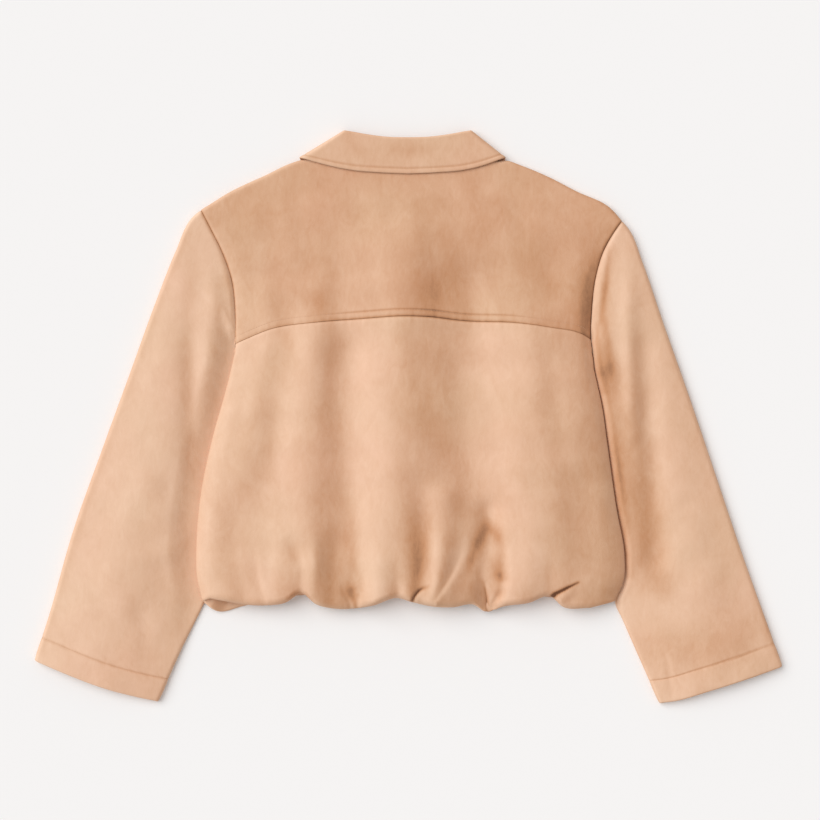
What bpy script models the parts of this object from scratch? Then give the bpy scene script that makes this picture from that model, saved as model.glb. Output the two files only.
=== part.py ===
"""A cropped suede jacket, laid face down: shirt collar, back yoke, set-in sleeves with
stitched hems, and a bubble hem that is gathered and turned under all round.

Lengths in the tables are millimetres. +X is the wearer's right, +Y points to the collar
and +Z up, away from the surface that the jacket lies on. Every piece is the middle
surface of its cloth, made as a grid of sections, which Solidify gives its thickness.
"""
import math
from collections import namedtuple

import bmesh
import bpy
import numpy as np

MM = 0.001

# Cloth, seams and layers
CLOTH = 1.6
SEAM_GAP = 0.3
FLOOR = CLOTH / 2           # middle of a layer that lies on the surface
LAYER = 2.0                 # from the middle of one layer to the next, where they touch
SLEEVE_PRESSED = 3.6        # middle of a sleeve's upper layer, where the body lies on it
FRONT_OVER_SLEEVE = 7.0     # middle of the front, where it lies on a sleeve
FOLD_REACH = 5.0            # how far from a fold's edge its turn ends, from above
SHOULDER_TOP = 8.6          # upper layer beside the shoulder fold and the sleeve's outer fold
FOLD_MIDDLE = 4.7           # height of those folds' edges
TURN = np.radians([0, 30, 60, 90])      # stations of a fold, from its edge to its top
TURN_REACH = np.array([0, 0.02, 0.35, 1])   # how far in each station is, over FOLD_REACH
TURN_INWARD = np.array([1, 0.97, 0.6, 0])   # how much each station faces along the layers
INSET_FADE = 3.0            # the outline's inset ends this far above the underarm, as a
                            # multiple of the way from there to the yoke seam's end
UNDERARM_EASE = 1.3         # extra room between front and sleeve just above the underarm

# Where the fronts climb: onto the sleeves, the collar and each other
SIDE_CLEAR = 14.0           # least distance from a side fold to where the front leaves a sleeve
SLEEVE_EDGE_CLEAR = 8.0     # it leaves it this far past the sleeve's inner fold
SURFACE_CLEAR = 30.0        # and is down on the surface this far past it
ARMHOLE_CLIMB = 0.65        # it lies on the sleeve up to this part of the way to the yoke seam
CENTRE_OVERLAP = 15.0       # how far each front passes the centre line
OVERLAP_CLIMB = (62.0, 34.0)    # from the front edges to where one climbs onto the other
OVERLAP_RISE = 2.8          # from the right front's middle up to the left one's on it
OVERLAP_HEM = (-130.0, -160.0)  # y where the left one starts and ends its climb over the hem
COLLAR_CLIMB = (150.0, 178.0)   # y where a front starts and ends its climb onto the collar
COLLAR_SIDES = (170.0, 145.0)   # x beyond which no collar lies beneath, and within which one does

# Hems
HEM_DEPTH = 38.0            # depth of the body's turned-in hem
HEM_INSIDE = 11.0           # height of the back's turned-in layer
HEM_INSIDE_RISE = 4.5       # and how much higher it is over the sleeves
HEM_SIDE_TURN = 2.0         # radius of the hem's turn at the side seams
HEM_FULLNESS = 4.5          # how much further the hem's turn reaches at its middle
HEM_TURN = np.radians([45, 90, 135])    # stations of a hem's turn
CUFF_DEPTH = 27.0
CUFF_TURN = 1.15            # radius of the turn at a cuff's edge

# Outlines seen from above, in rows of x and y
SHOULDER = {
    "left": ((-244, 243), (-234, 249), (-215, 261), (-163, 286), (-140, 297), (-128, 301),
             (-115, 303), (-98, 309)),
    "right": ((251, 230), (236, 246), (197, 265), (166, 281), (130, 296), (117, 300.5),
              (104, 300.5), (87, 309)),
}
ARMHOLE = {
    "left": ((-244, 243), (-232, 220), (-220, 196), (-208, 161), (-204, 122), (-204, 86),
             (-204, 76)),
    "right": ((251, 230), (240, 214), (230, 196), (221, 167), (216, 126), (215, 91),
              (218, 56)),
}
SIDE_FOLD = {
    "left": ((-204, 76), (-214, 34), (-230, -24), (-245, -98), (-249, -147), (-248, -192),
             (-243, -215)),
    "right": ((218, 56), (228, 9), (233, -27), (244, -105), (254, -166), (253, -192),
              (243, -216)),
}
SLEEVE_OUTER = {
    "left": ((-244, 243), (-254, 234), (-273, 195), (-297, 134), (-326, 54), (-357, -31),
             (-395, -138), (-422, -233), (-439, -286)),
    "right": ((251, 230), (259, 220), (275, 181), (299, 111), (330, 23), (363, -75),
              (395, -170), (424, -251), (439, -293)),
}
SLEEVE_INNER = {
    "left": ((-204, 76), (-201, 55), (-187, 22), (-176, -15), (-179, -70), (-242, -222),
             (-267, -273), (-294, -334)),
    "right": ((218, 56), (217, 38), (203, 5), (190, -30), (192, -80), (244, -219),
              (268, -275), (295, -336)),
}
CUFF = {
    "left": ((-439, -286), (-405, -300), (-363, -316), (-321, -328), (-294, -334)),
    "right": ((439, -293), (401, -306), (348, -323), (315, -333), (295, -336)),
}
YOKE_SEAM = ((-204, 86), (-158, 104), (-106, 111), (-55, 115), (-5, 118), (26, 117),
             (62, 113), (130, 110), (166, 105), (202, 98), (215, 91))
BACK_NECK = ((-98, 309), (-70, 303), (-36, 299), (-5, 298), (26, 299), (60, 303), (87, 309))
FRONT_NECK = {
    "left": ((-98, 309), (-92, 280), (-62, 245), (-5, 229)),
    "right": ((87, 309), (81, 280), (52, 245), (-5, 229)),
}

# The back's hem, in rows of x, y and how far the cloth sinks into a gather there
Gather = namedtuple("Gather", "x y sink")
BACK_HEM = tuple(Gather(*row) for row in (
    (-232, -221, 1), (-210, -222, 0), (-192, -219, 2), (-168, -220, 0), (-145, -217, 1),
    (-125, -206, 6), (-107, -219, 1), (-85, -224, 0), (-65, -224, 5), (-42, -220, 1),
    (-13, -211, 6), (5, -216, 1), (28, -221, 0), (52, -222, 1), (76, -219, 3),
    (91, -228, 8), (112, -221, 0), (140, -217, 1), (166, -209, 7), (182, -222, 1),
    (212, -223, 0),
))
GATHER_REACH = 34.0
FRONT_HEM = {
    "left": ((-243, -215), (-224, -228), (-195, -222), (-150, -212), (-80, -207), (15, -207)),
    "right": ((243, -216), (224, -219), (195, -215), (150, -210), (80, -207), (-15, -207)),
}

# Height of the back's middle surface at its sides and along its centre
Level = namedtuple("Level", "y rim crown")
BACK_LEVELS = tuple(Level(*row) for row in (
    (320, 8.6, 8.7), (295, 8.6, 8.8), (243, 8.6, 11.0), (120, 9.0, 14.5), (92, 9.6, 16.0),
    (66, 11.8, 17.6), (20, 15.6, 21.0), (-50, 18.0, 24.5), (-150, 18.0, 27.0),
    (-200, 18.0, 25.5), (-230, 18.0, 22.5),
))

# Folds: a straight crest from one end to the other, its half-width and its height.
# A trough has a height below zero.
Fold = namedtuple("Fold", "x0 y0 x1 y1 width height")
BACK_FOLDS = tuple(Fold(*row) for row in (
    (-172, 79, -189, -62, 24, 2.5),
    (-113, 85, -120, -195, 32, 5.0),
    (-74, 70, -68, -215, 26, -4.5),
    (-6, 190, -17, -205, 46, 8.0),
    (72, 150, 74, -80, 34, -4.0),
    (44, -95, 42, -205, 18, 4.5),
    (95, -110, 92, -222, 15, -5.0),
    (145, 90, 160, -190, 42, 6.0),
    (-110, 150, -108, 75, 26, 2.0),
))
SLEEVE_FOLDS = {
    "left": tuple(Fold(*row) for row in (
        (-242, 190, -262, -120, 20, -2.2),
        (-300, 60, -345, -200, 30, 1.6),
    )),
    "right": tuple(Fold(*row) for row in (
        (262, 200, 264, -20, 11, 2.0),
        (281, 80, 290, -165, 15, -2.4),
        (312, 60, 350, -190, 24, 1.8),
    )),
}
BACK_DOME_POWER = 3         # how flat the back is across, between its sides
BACK_FOLDS_INSIDE = 0.8     # the folds fade out from this part of the half width to the sides

# A sleeve's upper layer. Pairs are fractions of its width or length, or distances.
SLEEVE_CROWN = 5.0          # how far it stands above its edges
SLEEVE_CROWN_POWER = 0.8
SLEEVE_RIM_ACROSS = (0.3, 1.0)  # where its edge goes from the outer fold's height to the inner's
INNER_RISE = 3.2            # how much higher the inner fold is at the cuff
INNER_RISE_DOWN = (0.72, 0.95)
SLEEVE_FOLDS_END = (0.97, 0.85)
SLEEVE_HEAD_DEPTH = 0.16    # how far down it goes from the yoke's height to its own
FREE_OUTSIDE = (50.0, 8.0)  # from the body's outline to where the body no longer presses on it
FREE_ABOVE = (2.4, 1.0)     # the same above the underarm, as multiples of the way to the seam
FREE_BELOW = (-290.0, -235.0)   # y below the hem where it is free, and pressed
HEM_LEVEL = -215.0          # lowest y of the side folds

# Collar sections, by their place along the neck seam, from the centre back to the side
# and from there to the front end: the roll line's point and the outer edge's, whose x
# differs between the wearer's left and right.
CollarSection = namedtuple("CollarSection", "place roll_x roll_y left_x right_x edge_y")
COLLAR_BACK = tuple(CollarSection(*row) for row in (
    (0.0, 0, 330, 0, 0, 285.5),
    (0.3, 24, 331, -35, 34, 287),
    (0.6, 47, 333, -68, 66, 290),
    (0.85, 65, 335, -98, 90, 297),
    (1.0, 75, 336, -124, 110, 308),
))
COLLAR_FRONT = tuple(CollarSection(*row) for row in (
    (0.0, 75, 336, -124, 110, 308),
    (0.1, 74, 331, -124, 112, 293),
    (0.3, 68, 305, -122, 112, 252),
    (0.6, 49, 272, -107, 98, 218),
    (1.0, 13, 250, -78, 72, 190),
))
COLLAR_CENTRE = -1.0        # x of the roll line's middle
COLLAR_SPRING = 1.6         # how far the fall stands off the back at its middle
COLLAR_STAND = (0.012, 0.5, 0.96)       # the stand's rows, from the neck to the roll
COLLAR_FALL = (0.04, 0.35, 0.7, 1.0)    # the fall's rows, from the roll to its edge

# Numbers of stations
COLLAR_BACK_STATIONS = 5
SHOULDER_STATIONS = 6
ARMHOLE_STATIONS = 7
SIDE_STATIONS = 10
SLEEVE_HEAD = (0, 0.015, 0.06)  # a sleeve's first rings, as fractions of its length
SLEEVE_STATIONS = 9
FRONT_NECK_STATIONS = 6
HEM_ROWS = 3                # rows of a turned-in layer
OUTLINE_SAMPLES = 30        # points read from each table of the body's outline
INNER_SAMPLES = 60          # and from a sleeve's inner fold
CLOSE = 0.5                 # rows nearer than this don't show which way the cloth runs
WELD = 1e-7                 # metres between the ends of a tube's rows that are joined

SUEDE = (0.74, 0.46, 0.31, 1.0)
SUEDE_ROUGHNESS = 0.9
SIDES = ("left", "right")


# Curves and surfaces

def smoothstep(low, high, value):
    """0 below low, 1 above high and an even S between them; low may be the larger."""
    part = np.clip((np.asarray(value, float) - low) / (high - low), 0, 1)
    return part * part * (3 - 2 * part)


def hermite(at, knots, values):
    """A smooth curve through values at knots, read at the given places."""
    knots = np.asarray(knots, float)
    values = np.asarray(values, float)
    slopes = np.gradient(values, knots, axis=0)
    at = np.clip(at, knots[0], knots[-1])
    k = np.clip(np.searchsorted(knots, at, side="right") - 1, 0, len(knots) - 2)
    step = knots[k + 1] - knots[k]
    t = (at - knots[k]) / step
    if values.ndim > 1:
        t, step = t[..., None], step[..., None]
    start = (1 + 2 * t) * (1 - t) ** 2 * values[k] + t * (1 - t) ** 2 * step * slopes[k]
    end = t * t * (3 - 2 * t) * values[k + 1] + t * t * (t - 1) * step * slopes[k + 1]
    return start + end


def lengths(points):
    """Distance along a row of points, from its first."""
    steps = np.linalg.norm(np.diff(np.asarray(points, float), axis=0), axis=1)
    return np.concatenate([[0], np.cumsum(steps)])


def along(points, fractions):
    """Points on the smooth curve through points, at fractions of its length."""
    reach = lengths(points)
    return hermite(np.asarray(fractions) * reach[-1], reach, points)


def outline_x(side, y):
    """The body's outline: shoulder, armhole and side fold, as x at a height y."""
    tables = (SHOULDER[side][::-1], ARMHOLE[side], SIDE_FOLD[side])
    places = np.linspace(0, 1, OUTLINE_SAMPLES)
    dense = np.concatenate([along(table, places) for table in tables])
    return np.interp(y, dense[::-1, 1], dense[::-1, 0])


def inner_x(side, y):
    """The sleeve's inner fold, as x at a height y."""
    dense = along(SLEEVE_INNER[side], np.linspace(0, 1, INNER_SAMPLES))
    return np.interp(y, dense[::-1, 1], dense[::-1, 0])


def share(points):
    """Each point's fraction of the way along a row of points."""
    reach = lengths(points)
    return reach / reach[-1]


def coons(left, right, bottom, top, columns=None):
    """A grid that fills four edges: rows run from bottom to top, columns left to right.

    columns, if given, holds each row's fractions across, and the ends' rows keep theirs.
    """
    v = ((share(left) + share(right)) / 2)[:, None, None]
    if columns is None:
        columns = np.broadcast_to((share(bottom) + share(top)) / 2, (len(v), len(bottom)))
    u = columns[..., None]
    across = (1 - u) * left[:, None] + u * right[:, None]
    first, last = columns[0][:, None], columns[-1][:, None]
    bottom_bow = bottom - (1 - first) * bottom[0] - first * bottom[-1]
    top_bow = top - (1 - last) * top[0] - last * top[-1]
    return across + (1 - v) * bottom_bow[None] + v * top_bow[None]


def relief(folds, x, y):
    """Height that a table of folds adds at x, y."""
    total = np.zeros(np.shape(x))
    for fold in folds:
        run_x, run_y = fold.x1 - fold.x0, fold.y1 - fold.y0
        length = math.hypot(run_x, run_y)
        down = ((x - fold.x0) * run_x + (y - fold.y0) * run_y) / length
        across = ((x - fold.x0) * run_y - (y - fold.y0) * run_x) / length
        past = np.maximum(np.maximum(-down, down - length), 0)
        total += fold.height * np.exp(-(across ** 2 + past ** 2) / fold.width ** 2)
    return total


# Stations: fractions of an edge's length

def fold_stations(reach, length):
    """Stations of a fold's turn at the start of an edge."""
    return reach * TURN_REACH / length


def armhole_stations(side):
    """From the shoulder down to the yoke seam's end, and then the last turn to the underarm."""
    reach = lengths(ARMHOLE[side])
    turn = fold_stations(FOLD_REACH, reach[-1])
    seam_end = reach[-2] / reach[-1]
    upper = np.linspace(turn[-1], seam_end, ARMHOLE_STATIONS)[1:]
    return np.concatenate([turn, upper]), 1 - turn[::-1]


def shoulder_line(side):
    """Points from the sleeve to the neck along a shoulder."""
    turn = fold_stations(FOLD_REACH, lengths(SHOULDER[side])[-1])
    rest = np.linspace(turn[-1], 1, SHOULDER_STATIONS)[1:]
    return along(SHOULDER[side], np.concatenate([turn, rest]))


def armhole_line(side):
    """Points down an armhole, from the shoulder to the yoke seam's end."""
    return along(ARMHOLE[side], armhole_stations(side)[0])


def side_line(side):
    """Points down a side fold, from the underarm to the hem's corner."""
    hem = 1 - HEM_DEPTH / lengths(SIDE_FOLD[side])[-1] * np.linspace(1, 0, HEM_ROWS)
    body = np.linspace(0, hem[0], SIDE_STATIONS)[:-1]
    return along(SIDE_FOLD[side], np.concatenate([body, hem]))


def back_hem_line():
    """Points along the back's hem: its rows, and the turns of the side folds at its ends."""
    rows = np.array([(row.x, row.y) for row in BACK_HEM], float)
    ends = [np.array(SIDE_FOLD[side][-1], float) for side in SIDES]
    turn = TURN_REACH[:-1, None]
    start = ends[0] + (rows[0] - ends[0]) * turn
    end = ends[1] + (rows[-1] - ends[1]) * turn
    return np.concatenate([start, rows, end[::-1]])


def neck_places():
    """Places along half of the back neck, from its centre to the shoulder."""
    clear = 1 - fold_stations(FOLD_REACH, lengths(BACK_NECK)[-1] / 2)[-1]
    return np.append(np.linspace(0, clear, COLLAR_BACK_STATIONS), 1)


def yoke_seam_line():
    """Points along the yoke seam, a station for each of the hem's."""
    turn = fold_stations(FOLD_REACH, lengths(YOKE_SEAM)[-1])
    middle = np.linspace(turn[-1], 1 - turn[-1], len(BACK_HEM))[1:-1]
    return along(YOKE_SEAM, np.concatenate([turn, middle, 1 - turn[::-1]]))


def facing_along(turn):
    """How much a column faces along the layers rather than up or down."""
    return np.interp(turn, TURN, TURN_INWARD)


def turn_across(count):
    """The turn at each column of a grid whose both sides are folds."""
    flat = np.full(count - 2 * len(TURN), math.pi / 2)
    return np.concatenate([TURN, flat, TURN[::-1]])


# Heights

def back_levels(y):
    """Height of the back's sides and of its centre line."""
    levels = np.array(BACK_LEVELS[::-1], float)
    return np.moveaxis(hermite(y, levels[:, 0], levels[:, 1:]), -1, 0)


def back_top(x, y):
    """Middle of the back, above the turns at its folds."""
    rim, crown = back_levels(y)
    left, right = outline_x("left", y), outline_x("right", y)
    place = np.abs(2 * (x - left) / (right - left) - 1)
    dome = 1 - np.clip(place, 0, 1) ** BACK_DOME_POWER
    folds = relief(BACK_FOLDS, x, y) * smoothstep(1, BACK_FOLDS_INSIDE, place)
    return rim + (crown - rim) * dome + folds


def side_middle(y):
    """Height of the side folds' edges."""
    return (FRONT_OVER_SLEEVE + back_levels(y)[0]) / 2


def above_underarm(x, y):
    """How far y is up from the underarm, as a fraction of the way to the yoke seam."""
    seam, under = (np.where(x < 0, ARMHOLE["left"][n][1], ARMHOLE["right"][n][1])
                   for n in (-2, -1))
    return (y - under) / (seam - under)


def beside_fold(x, y):
    """1 beside the side folds, fading out up to the yoke seam above them."""
    return smoothstep(1, 0, above_underarm(x, y))


def fold_inset(x, y, ease=0.0):
    """How far the cloth's middle stands in from the outline beside the side folds.

    ease is what a front adds where it climbs past the sleeve's seam.
    """
    above = above_underarm(x, y)
    inset = CLOTH / 2 * smoothstep(INSET_FADE, 0, above)
    return inset + ease * np.clip(1 - np.abs(above - 1), 0, 1)


def over_collar(x):
    """1 near the neck, where the shoulders lie on the collar, and 0 beyond it."""
    return smoothstep(*COLLAR_SIDES, np.abs(x))


def shoulder_middle(x):
    """Height of the shoulder folds' edges."""
    return FOLD_MIDDLE + LAYER / 2 * over_collar(x)


def over_right_front(x):
    """1 where the left front lies on the right one."""
    return smoothstep(CENTRE_OVERLAP - OVERLAP_CLIMB[0], CENTRE_OVERLAP - OVERLAP_CLIMB[1], x)


def gather_sink(x, y):
    """How far the gathers pull the back down near its hem."""
    rows = np.array(BACK_HEM, float)
    hem_y = np.interp(x, rows[:, 0], rows[:, 1])
    sink = np.interp(x, rows[:, 0], rows[:, 2])
    return sink * np.exp(-((y - hem_y) / GATHER_REACH) ** 2)


def lying(side, x, y):
    """How far the front has risen onto the sleeve: 0 on the surface, 1 on the sleeve."""
    outward = -1 if side == "left" else 1
    beyond = outward * (inner_x(side, y) - x)
    below = smoothstep(1, ARMHOLE_CLIMB, above_underarm(x, y))
    return smoothstep(SURFACE_CLEAR, SLEEVE_EDGE_CLEAR, beyond) * below


def front_height(side, x, y):
    """Middle of a front: on the surface, on the sleeve, on the collar or on the other front."""
    rise = (FRONT_OVER_SLEEVE - FLOOR) * lying(side, x, y)
    rise = rise + LAYER * smoothstep(*COLLAR_CLIMB, y) * over_collar(x)
    if side == "left":
        rise = rise + OVERLAP_RISE * over_right_front(x) * (1 + smoothstep(*OVERLAP_HEM, y))
    return FLOOR + rise


def sleeve_top(side, x, y, across, down):
    """Middle of a sleeve's upper layer, at fractions across and down it."""
    outward = -1 if side == "left" else 1
    inner_rim = SLEEVE_PRESSED + INNER_RISE * smoothstep(*INNER_RISE_DOWN, down)
    rim = SHOULDER_TOP + (inner_rim - SHOULDER_TOP) * smoothstep(*SLEEVE_RIM_ACROSS, across)
    dome = np.sin(np.pi * np.clip(across, 0, 1)) ** SLEEVE_CROWN_POWER
    folds = relief(SLEEVE_FOLDS[side], x, y) * dome * smoothstep(*SLEEVE_FOLDS_END, down)
    height = rim + SLEEVE_CROWN * dome + folds
    at_armhole = smoothstep(SLEEVE_HEAD_DEPTH, 0, down)
    height = height + (back_levels(y)[0] - height) * at_armhole
    outside = outward * (x - outline_x(side, np.maximum(y, HEM_LEVEL)))
    pressed = smoothstep(*FREE_OUTSIDE, outside) * smoothstep(*FREE_ABOVE, above_underarm(x, y))
    pressed = pressed * smoothstep(*FREE_BELOW, y)
    return height + (SLEEVE_PRESSED - height) * pressed


# Panels

def with_height(plan, height):
    """Points of a grid seen from above, with their heights."""
    return np.concatenate([plan, height[..., None]], axis=-1)


def turned_under(rows, inside, outward):
    """The rows of a grid, then its hem: a turn round the edge and the layer inside it.

    inside holds the turned-in layer's rows, from the edge inwards, and outward points
    off the edge, by as much as the turn stands off it.
    """
    edge = rows[-1]
    turns = [edge + (inside[0] - edge) * (1 - math.cos(a)) / 2 + outward * math.sin(a)
             for a in HEM_TURN]
    return np.concatenate([rows, np.array(turns), inside])


def side_drop(x, y, height, turn):
    """How far the back's edge turns down, at the side folds and just above them."""
    return beside_fold(x, y) * (height - side_middle(y)) * (1 - np.sin(turn))


def yoke_surface():
    """Shoulder to shoulder, from the yoke seam up to the shoulder folds and the neck."""
    left = armhole_line("left")[::-1]
    right = armhole_line("right")[::-1]
    half = neck_places()
    neck = along(BACK_NECK, np.concatenate([1 - half[:0:-1], 1 + half]) / 2)
    right_shoulder = shoulder_line("right")[::-1]
    top = np.concatenate([shoulder_line("left")[:-1], neck, right_shoulder[1:]])
    plan = coons(left, right, yoke_seam_line(), top)
    first = SHOULDER_STATIONS + len(TURN) - 1
    turns = len(TURN)
    for row in range(1 - turns, -1):
        part = (row + turns) / (turns - 1)
        neck_row = plan[-turns] + (plan[-1] - plan[-turns]) * part
        plan[row, first:-first] = neck_row[first:-first]
    x, y = plan[..., 0], plan[..., 1]
    height = back_top(x, y)
    shoulder = np.ones(len(top))
    shoulder[first:-first] = 0
    row_turn = np.full(len(left), 1.0)
    row_turn[-turns:] = np.sin(TURN)[::-1]
    drop = (1 - row_turn)[:, None] * shoulder
    height = height + (shoulder_middle(x) - height) * drop
    turn = turn_across(len(top))
    height = height - side_drop(x, y, height, turn)
    # the shoulders' ends at the neck stand clear of the collar
    height[-1, [first - 1, -first]] += SEAM_GAP
    inward = facing_along(turn) * np.where(np.arange(len(top)) < first, 1, -1)
    plan[..., 0] += inward * fold_inset(x, y)
    return with_height(plan, height)


def back_surface():
    """Yoke seam to hem, and the hem's turned-in layer."""
    left = np.concatenate([[ARMHOLE["left"][-2]], side_line("left")])
    right = np.concatenate([[ARMHOLE["right"][-2]], side_line("right")])
    top, bottom = yoke_seam_line(), back_hem_line()
    plan = coons(left, right, top, bottom)
    x, y = plan[..., 0], plan[..., 1]
    turn = turn_across(len(top))
    height = back_top(x, y) - gather_sink(x, y)
    height = height - side_drop(x, y, height, turn)
    rounds = np.sin(turn)
    inward = facing_along(turn) * np.where(np.arange(len(turn)) < len(turn) / 2, 1, -1)
    plan[..., 0] += inward * fold_inset(x, y)
    reach = HEM_SIDE_TURN + HEM_FULLNESS * rounds
    plan[-1, :, 1] += reach
    rows = with_height(plan, height)
    inside = plan[:-HEM_ROWS - 1:-1].copy()
    inside[..., 0] += 2 * HEM_SIDE_TURN * inward
    over_sleeve = np.where(x < 0, lying("left", x, y), lying("right", x, y))
    layer = (HEM_INSIDE + HEM_INSIDE_RISE * over_sleeve)[:-HEM_ROWS - 1:-1]
    middle = side_middle(y[:-HEM_ROWS - 1:-1])
    inside = with_height(inside, middle + (layer - middle) * rounds)
    outward = np.stack([0 * reach, -reach, 0 * reach], axis=1)
    return turned_under(rows, inside, outward)


def front_columns(side, fold, centre):
    """Each row's fractions across a front: its columns follow the sleeve's edge beneath."""
    width = np.abs(centre[:, 0] - fold[:, 0])
    past_sleeve = np.abs(inner_x(side, fold[:, 1]) - fold[:, 0])
    clear = np.maximum(past_sleeve + SLEEVE_EDGE_CLEAR, SIDE_CLEAR)
    down = clear + SURFACE_CLEAR - SLEEVE_EDGE_CLEAR
    ones = np.ones(len(fold))
    width = width[None]
    turn = FOLD_REACH * TURN_REACH[:, None] / width
    climb = 1 - np.array(OVERLAP_CLIMB)[:, None] / width
    rows = np.concatenate([turn, clear / width, down / width, climb, ones[None]]).T
    top = share(shoulder_line(side))
    first = len(side_line(side)) - 1
    up = np.clip((np.arange(len(fold)) - first) / (len(fold) - 1 - first), 0, 1)[:, None]
    rows[first:] = rows[first]
    return rows + (top - rows) * up


def front_neck_line(side):
    """Points of the front neckline, from its centre to the shoulder."""
    neck = FRONT_NECK[side][::-1]
    turn = fold_stations(FOLD_REACH, lengths(neck)[-1])
    rest = np.linspace(0, 1 - turn[-1], FRONT_NECK_STATIONS)
    return along(neck, np.concatenate([rest[:-1], 1 - turn[::-1]]))


def front_surface(side):
    """Hem to shoulder and neck, one half of the front, and its turned-in hem."""
    inward_x = 1 if side == "left" else -1
    fold = np.concatenate([side_line(side)[::-1], armhole_line(side)[::-1]])
    neck_line = front_neck_line(side)
    hem_y = FRONT_HEM[side][-1][1]
    rest = np.linspace(hem_y + HEM_DEPTH, neck_line[0, 1], len(fold) - len(neck_line) - 1)
    edge_y = np.concatenate([[hem_y, hem_y + HEM_DEPTH / 2], rest[:-1]])
    edge_x = np.full(len(edge_y), inward_x * CENTRE_OVERLAP)
    centre = np.concatenate([np.stack([edge_x, edge_y], axis=1), neck_line])
    columns = front_columns(side, fold, centre)
    plan = coons(fold, centre, along(FRONT_HEM[side], columns[0]), shoulder_line(side), columns)
    x, y = plan[..., 0], plan[..., 1]
    rounds = np.concatenate([np.sin(TURN), np.ones(plan.shape[1] - len(TURN))])
    height = front_height(side, x, y)
    height = height + beside_fold(x, y) * (side_middle(y) - height) * (1 - rounds)
    row_turn = np.ones(len(fold))
    row_turn[-len(TURN):] = np.sin(TURN)[::-1]
    height = height + (shoulder_middle(x) - height) * (1 - row_turn)[:, None]
    inward = inward_x * facing_along(np.arcsin(rounds))
    plan[..., 0] += inward * fold_inset(x, y, UNDERARM_EASE)
    plan[0, :, 1] += HEM_SIDE_TURN
    rows = with_height(plan, height)[::-1]
    inside = plan[:HEM_ROWS].copy()
    inside[..., 0] += 2 * HEM_SIDE_TURN * inward
    layer = front_height(side, x, y)[:HEM_ROWS] + LAYER
    middle = side_middle(y[:HEM_ROWS])
    inside = with_height(inside, middle + (layer - middle) * rounds)
    outward = np.tile([0, -HEM_SIDE_TURN, 0], (len(rounds), 1))
    return turned_under(rows, inside, outward)


def sleeve_surface(side):
    """A flattened tube from the armhole to the cuff, and the cuff's turned-in hem."""
    outer_side = 1 if side == "left" else -1
    upper, under = armhole_stations(side)
    across = np.concatenate([upper, under])
    stitch = 1 - CUFF_DEPTH / lengths(SLEEVE_INNER[side])[-1]
    middle = np.linspace(SLEEVE_HEAD[-1], stitch, SLEEVE_STATIONS)[1:]
    down = np.concatenate([SLEEVE_HEAD, middle, [(1 + stitch) / 2, 1]])
    outer = along(SLEEVE_OUTER[side], down)
    inner = along(SLEEVE_INNER[side], down)
    plan = coons(outer, inner, along(ARMHOLE[side], across), along(CUFF[side], across))
    turn = turn_across(len(across))
    inner_half = np.arange(len(across)) > len(across) / 2
    plan[..., 0] -= outer_side * CLOTH / 2 * facing_along(turn) * inner_half
    x, y = plan[..., 0], plan[..., 1]
    top = sleeve_top(side, x, y, np.broadcast_to(across, x.shape),
                     np.broadcast_to(down[:, None], x.shape))
    rounds = np.sin(turn)
    middle = (top + FLOOR) / 2
    upper_rows = with_height(plan, middle + (top - middle) * rounds)
    lower_rows = with_height(plan, middle - (middle - FLOOR) * rounds)
    ring = np.concatenate([upper_rows, lower_rows[:, -2:0:-1]], axis=1)
    ring_turn = np.concatenate([turn, turn[-2:0:-1]])
    count = x.shape[1]
    is_upper = np.arange(ring.shape[1]) < count
    edge_side = np.concatenate([np.arange(count), np.arange(count - 2, 0, -1)]) < count / 2
    sign = np.where(edge_side, outer_side, -outer_side)
    inward = np.stack([sign * facing_along(ring_turn), 0 * ring_turn,
                       np.where(is_upper, -1, 1) * np.sin(ring_turn)], axis=1)
    off = ring[-1] - ring[-2]
    off[:, 2] = 0
    off = off / np.linalg.norm(off, axis=1)[:, None] * CUFF_TURN
    ring[-1] -= off
    return turned_under(ring, ring[:-HEM_ROWS - 1:-1] + 2 * CUFF_TURN * inward, off)


def collar_half(side):
    """Neck seam, roll line and outer edge of half the collar's sections, from centre back.

    The second array is each section's turn round the side of the neck, from a quarter
    turn up on the back to a quarter turn down on the front.
    """
    back_neck = BACK_NECK[::-1] if side == "left" else BACK_NECK
    back_places = neck_places()
    front_line = front_neck_line(side)[::-1]
    front_places = share(front_line)
    neck = np.concatenate([along(back_neck, 0.5 + back_places / 2), front_line[1:]])
    tables = (np.array(COLLAR_BACK), np.array(COLLAR_FRONT))
    rows = [hermite(places, table[:, 0], table[:, 1:])
            for places, table in zip((back_places, front_places), tables)]
    rows = np.concatenate([rows[0], rows[1][1:]])
    outward = -1 if side == "left" else 1
    roll = np.stack([COLLAR_CENTRE + outward * rows[:, 0], rows[:, 1]], axis=1)
    edge = np.stack([rows[:, 2 if side == "left" else 3], rows[:, 4]], axis=1)
    flat_back = np.full(COLLAR_BACK_STATIONS, math.pi / 2)
    flat_front = np.full(FRONT_NECK_STATIONS - 1, -math.pi / 2)
    phase = np.concatenate([flat_back, -TURN, flat_front])
    return np.stack([neck, roll, edge], axis=1), phase


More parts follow.
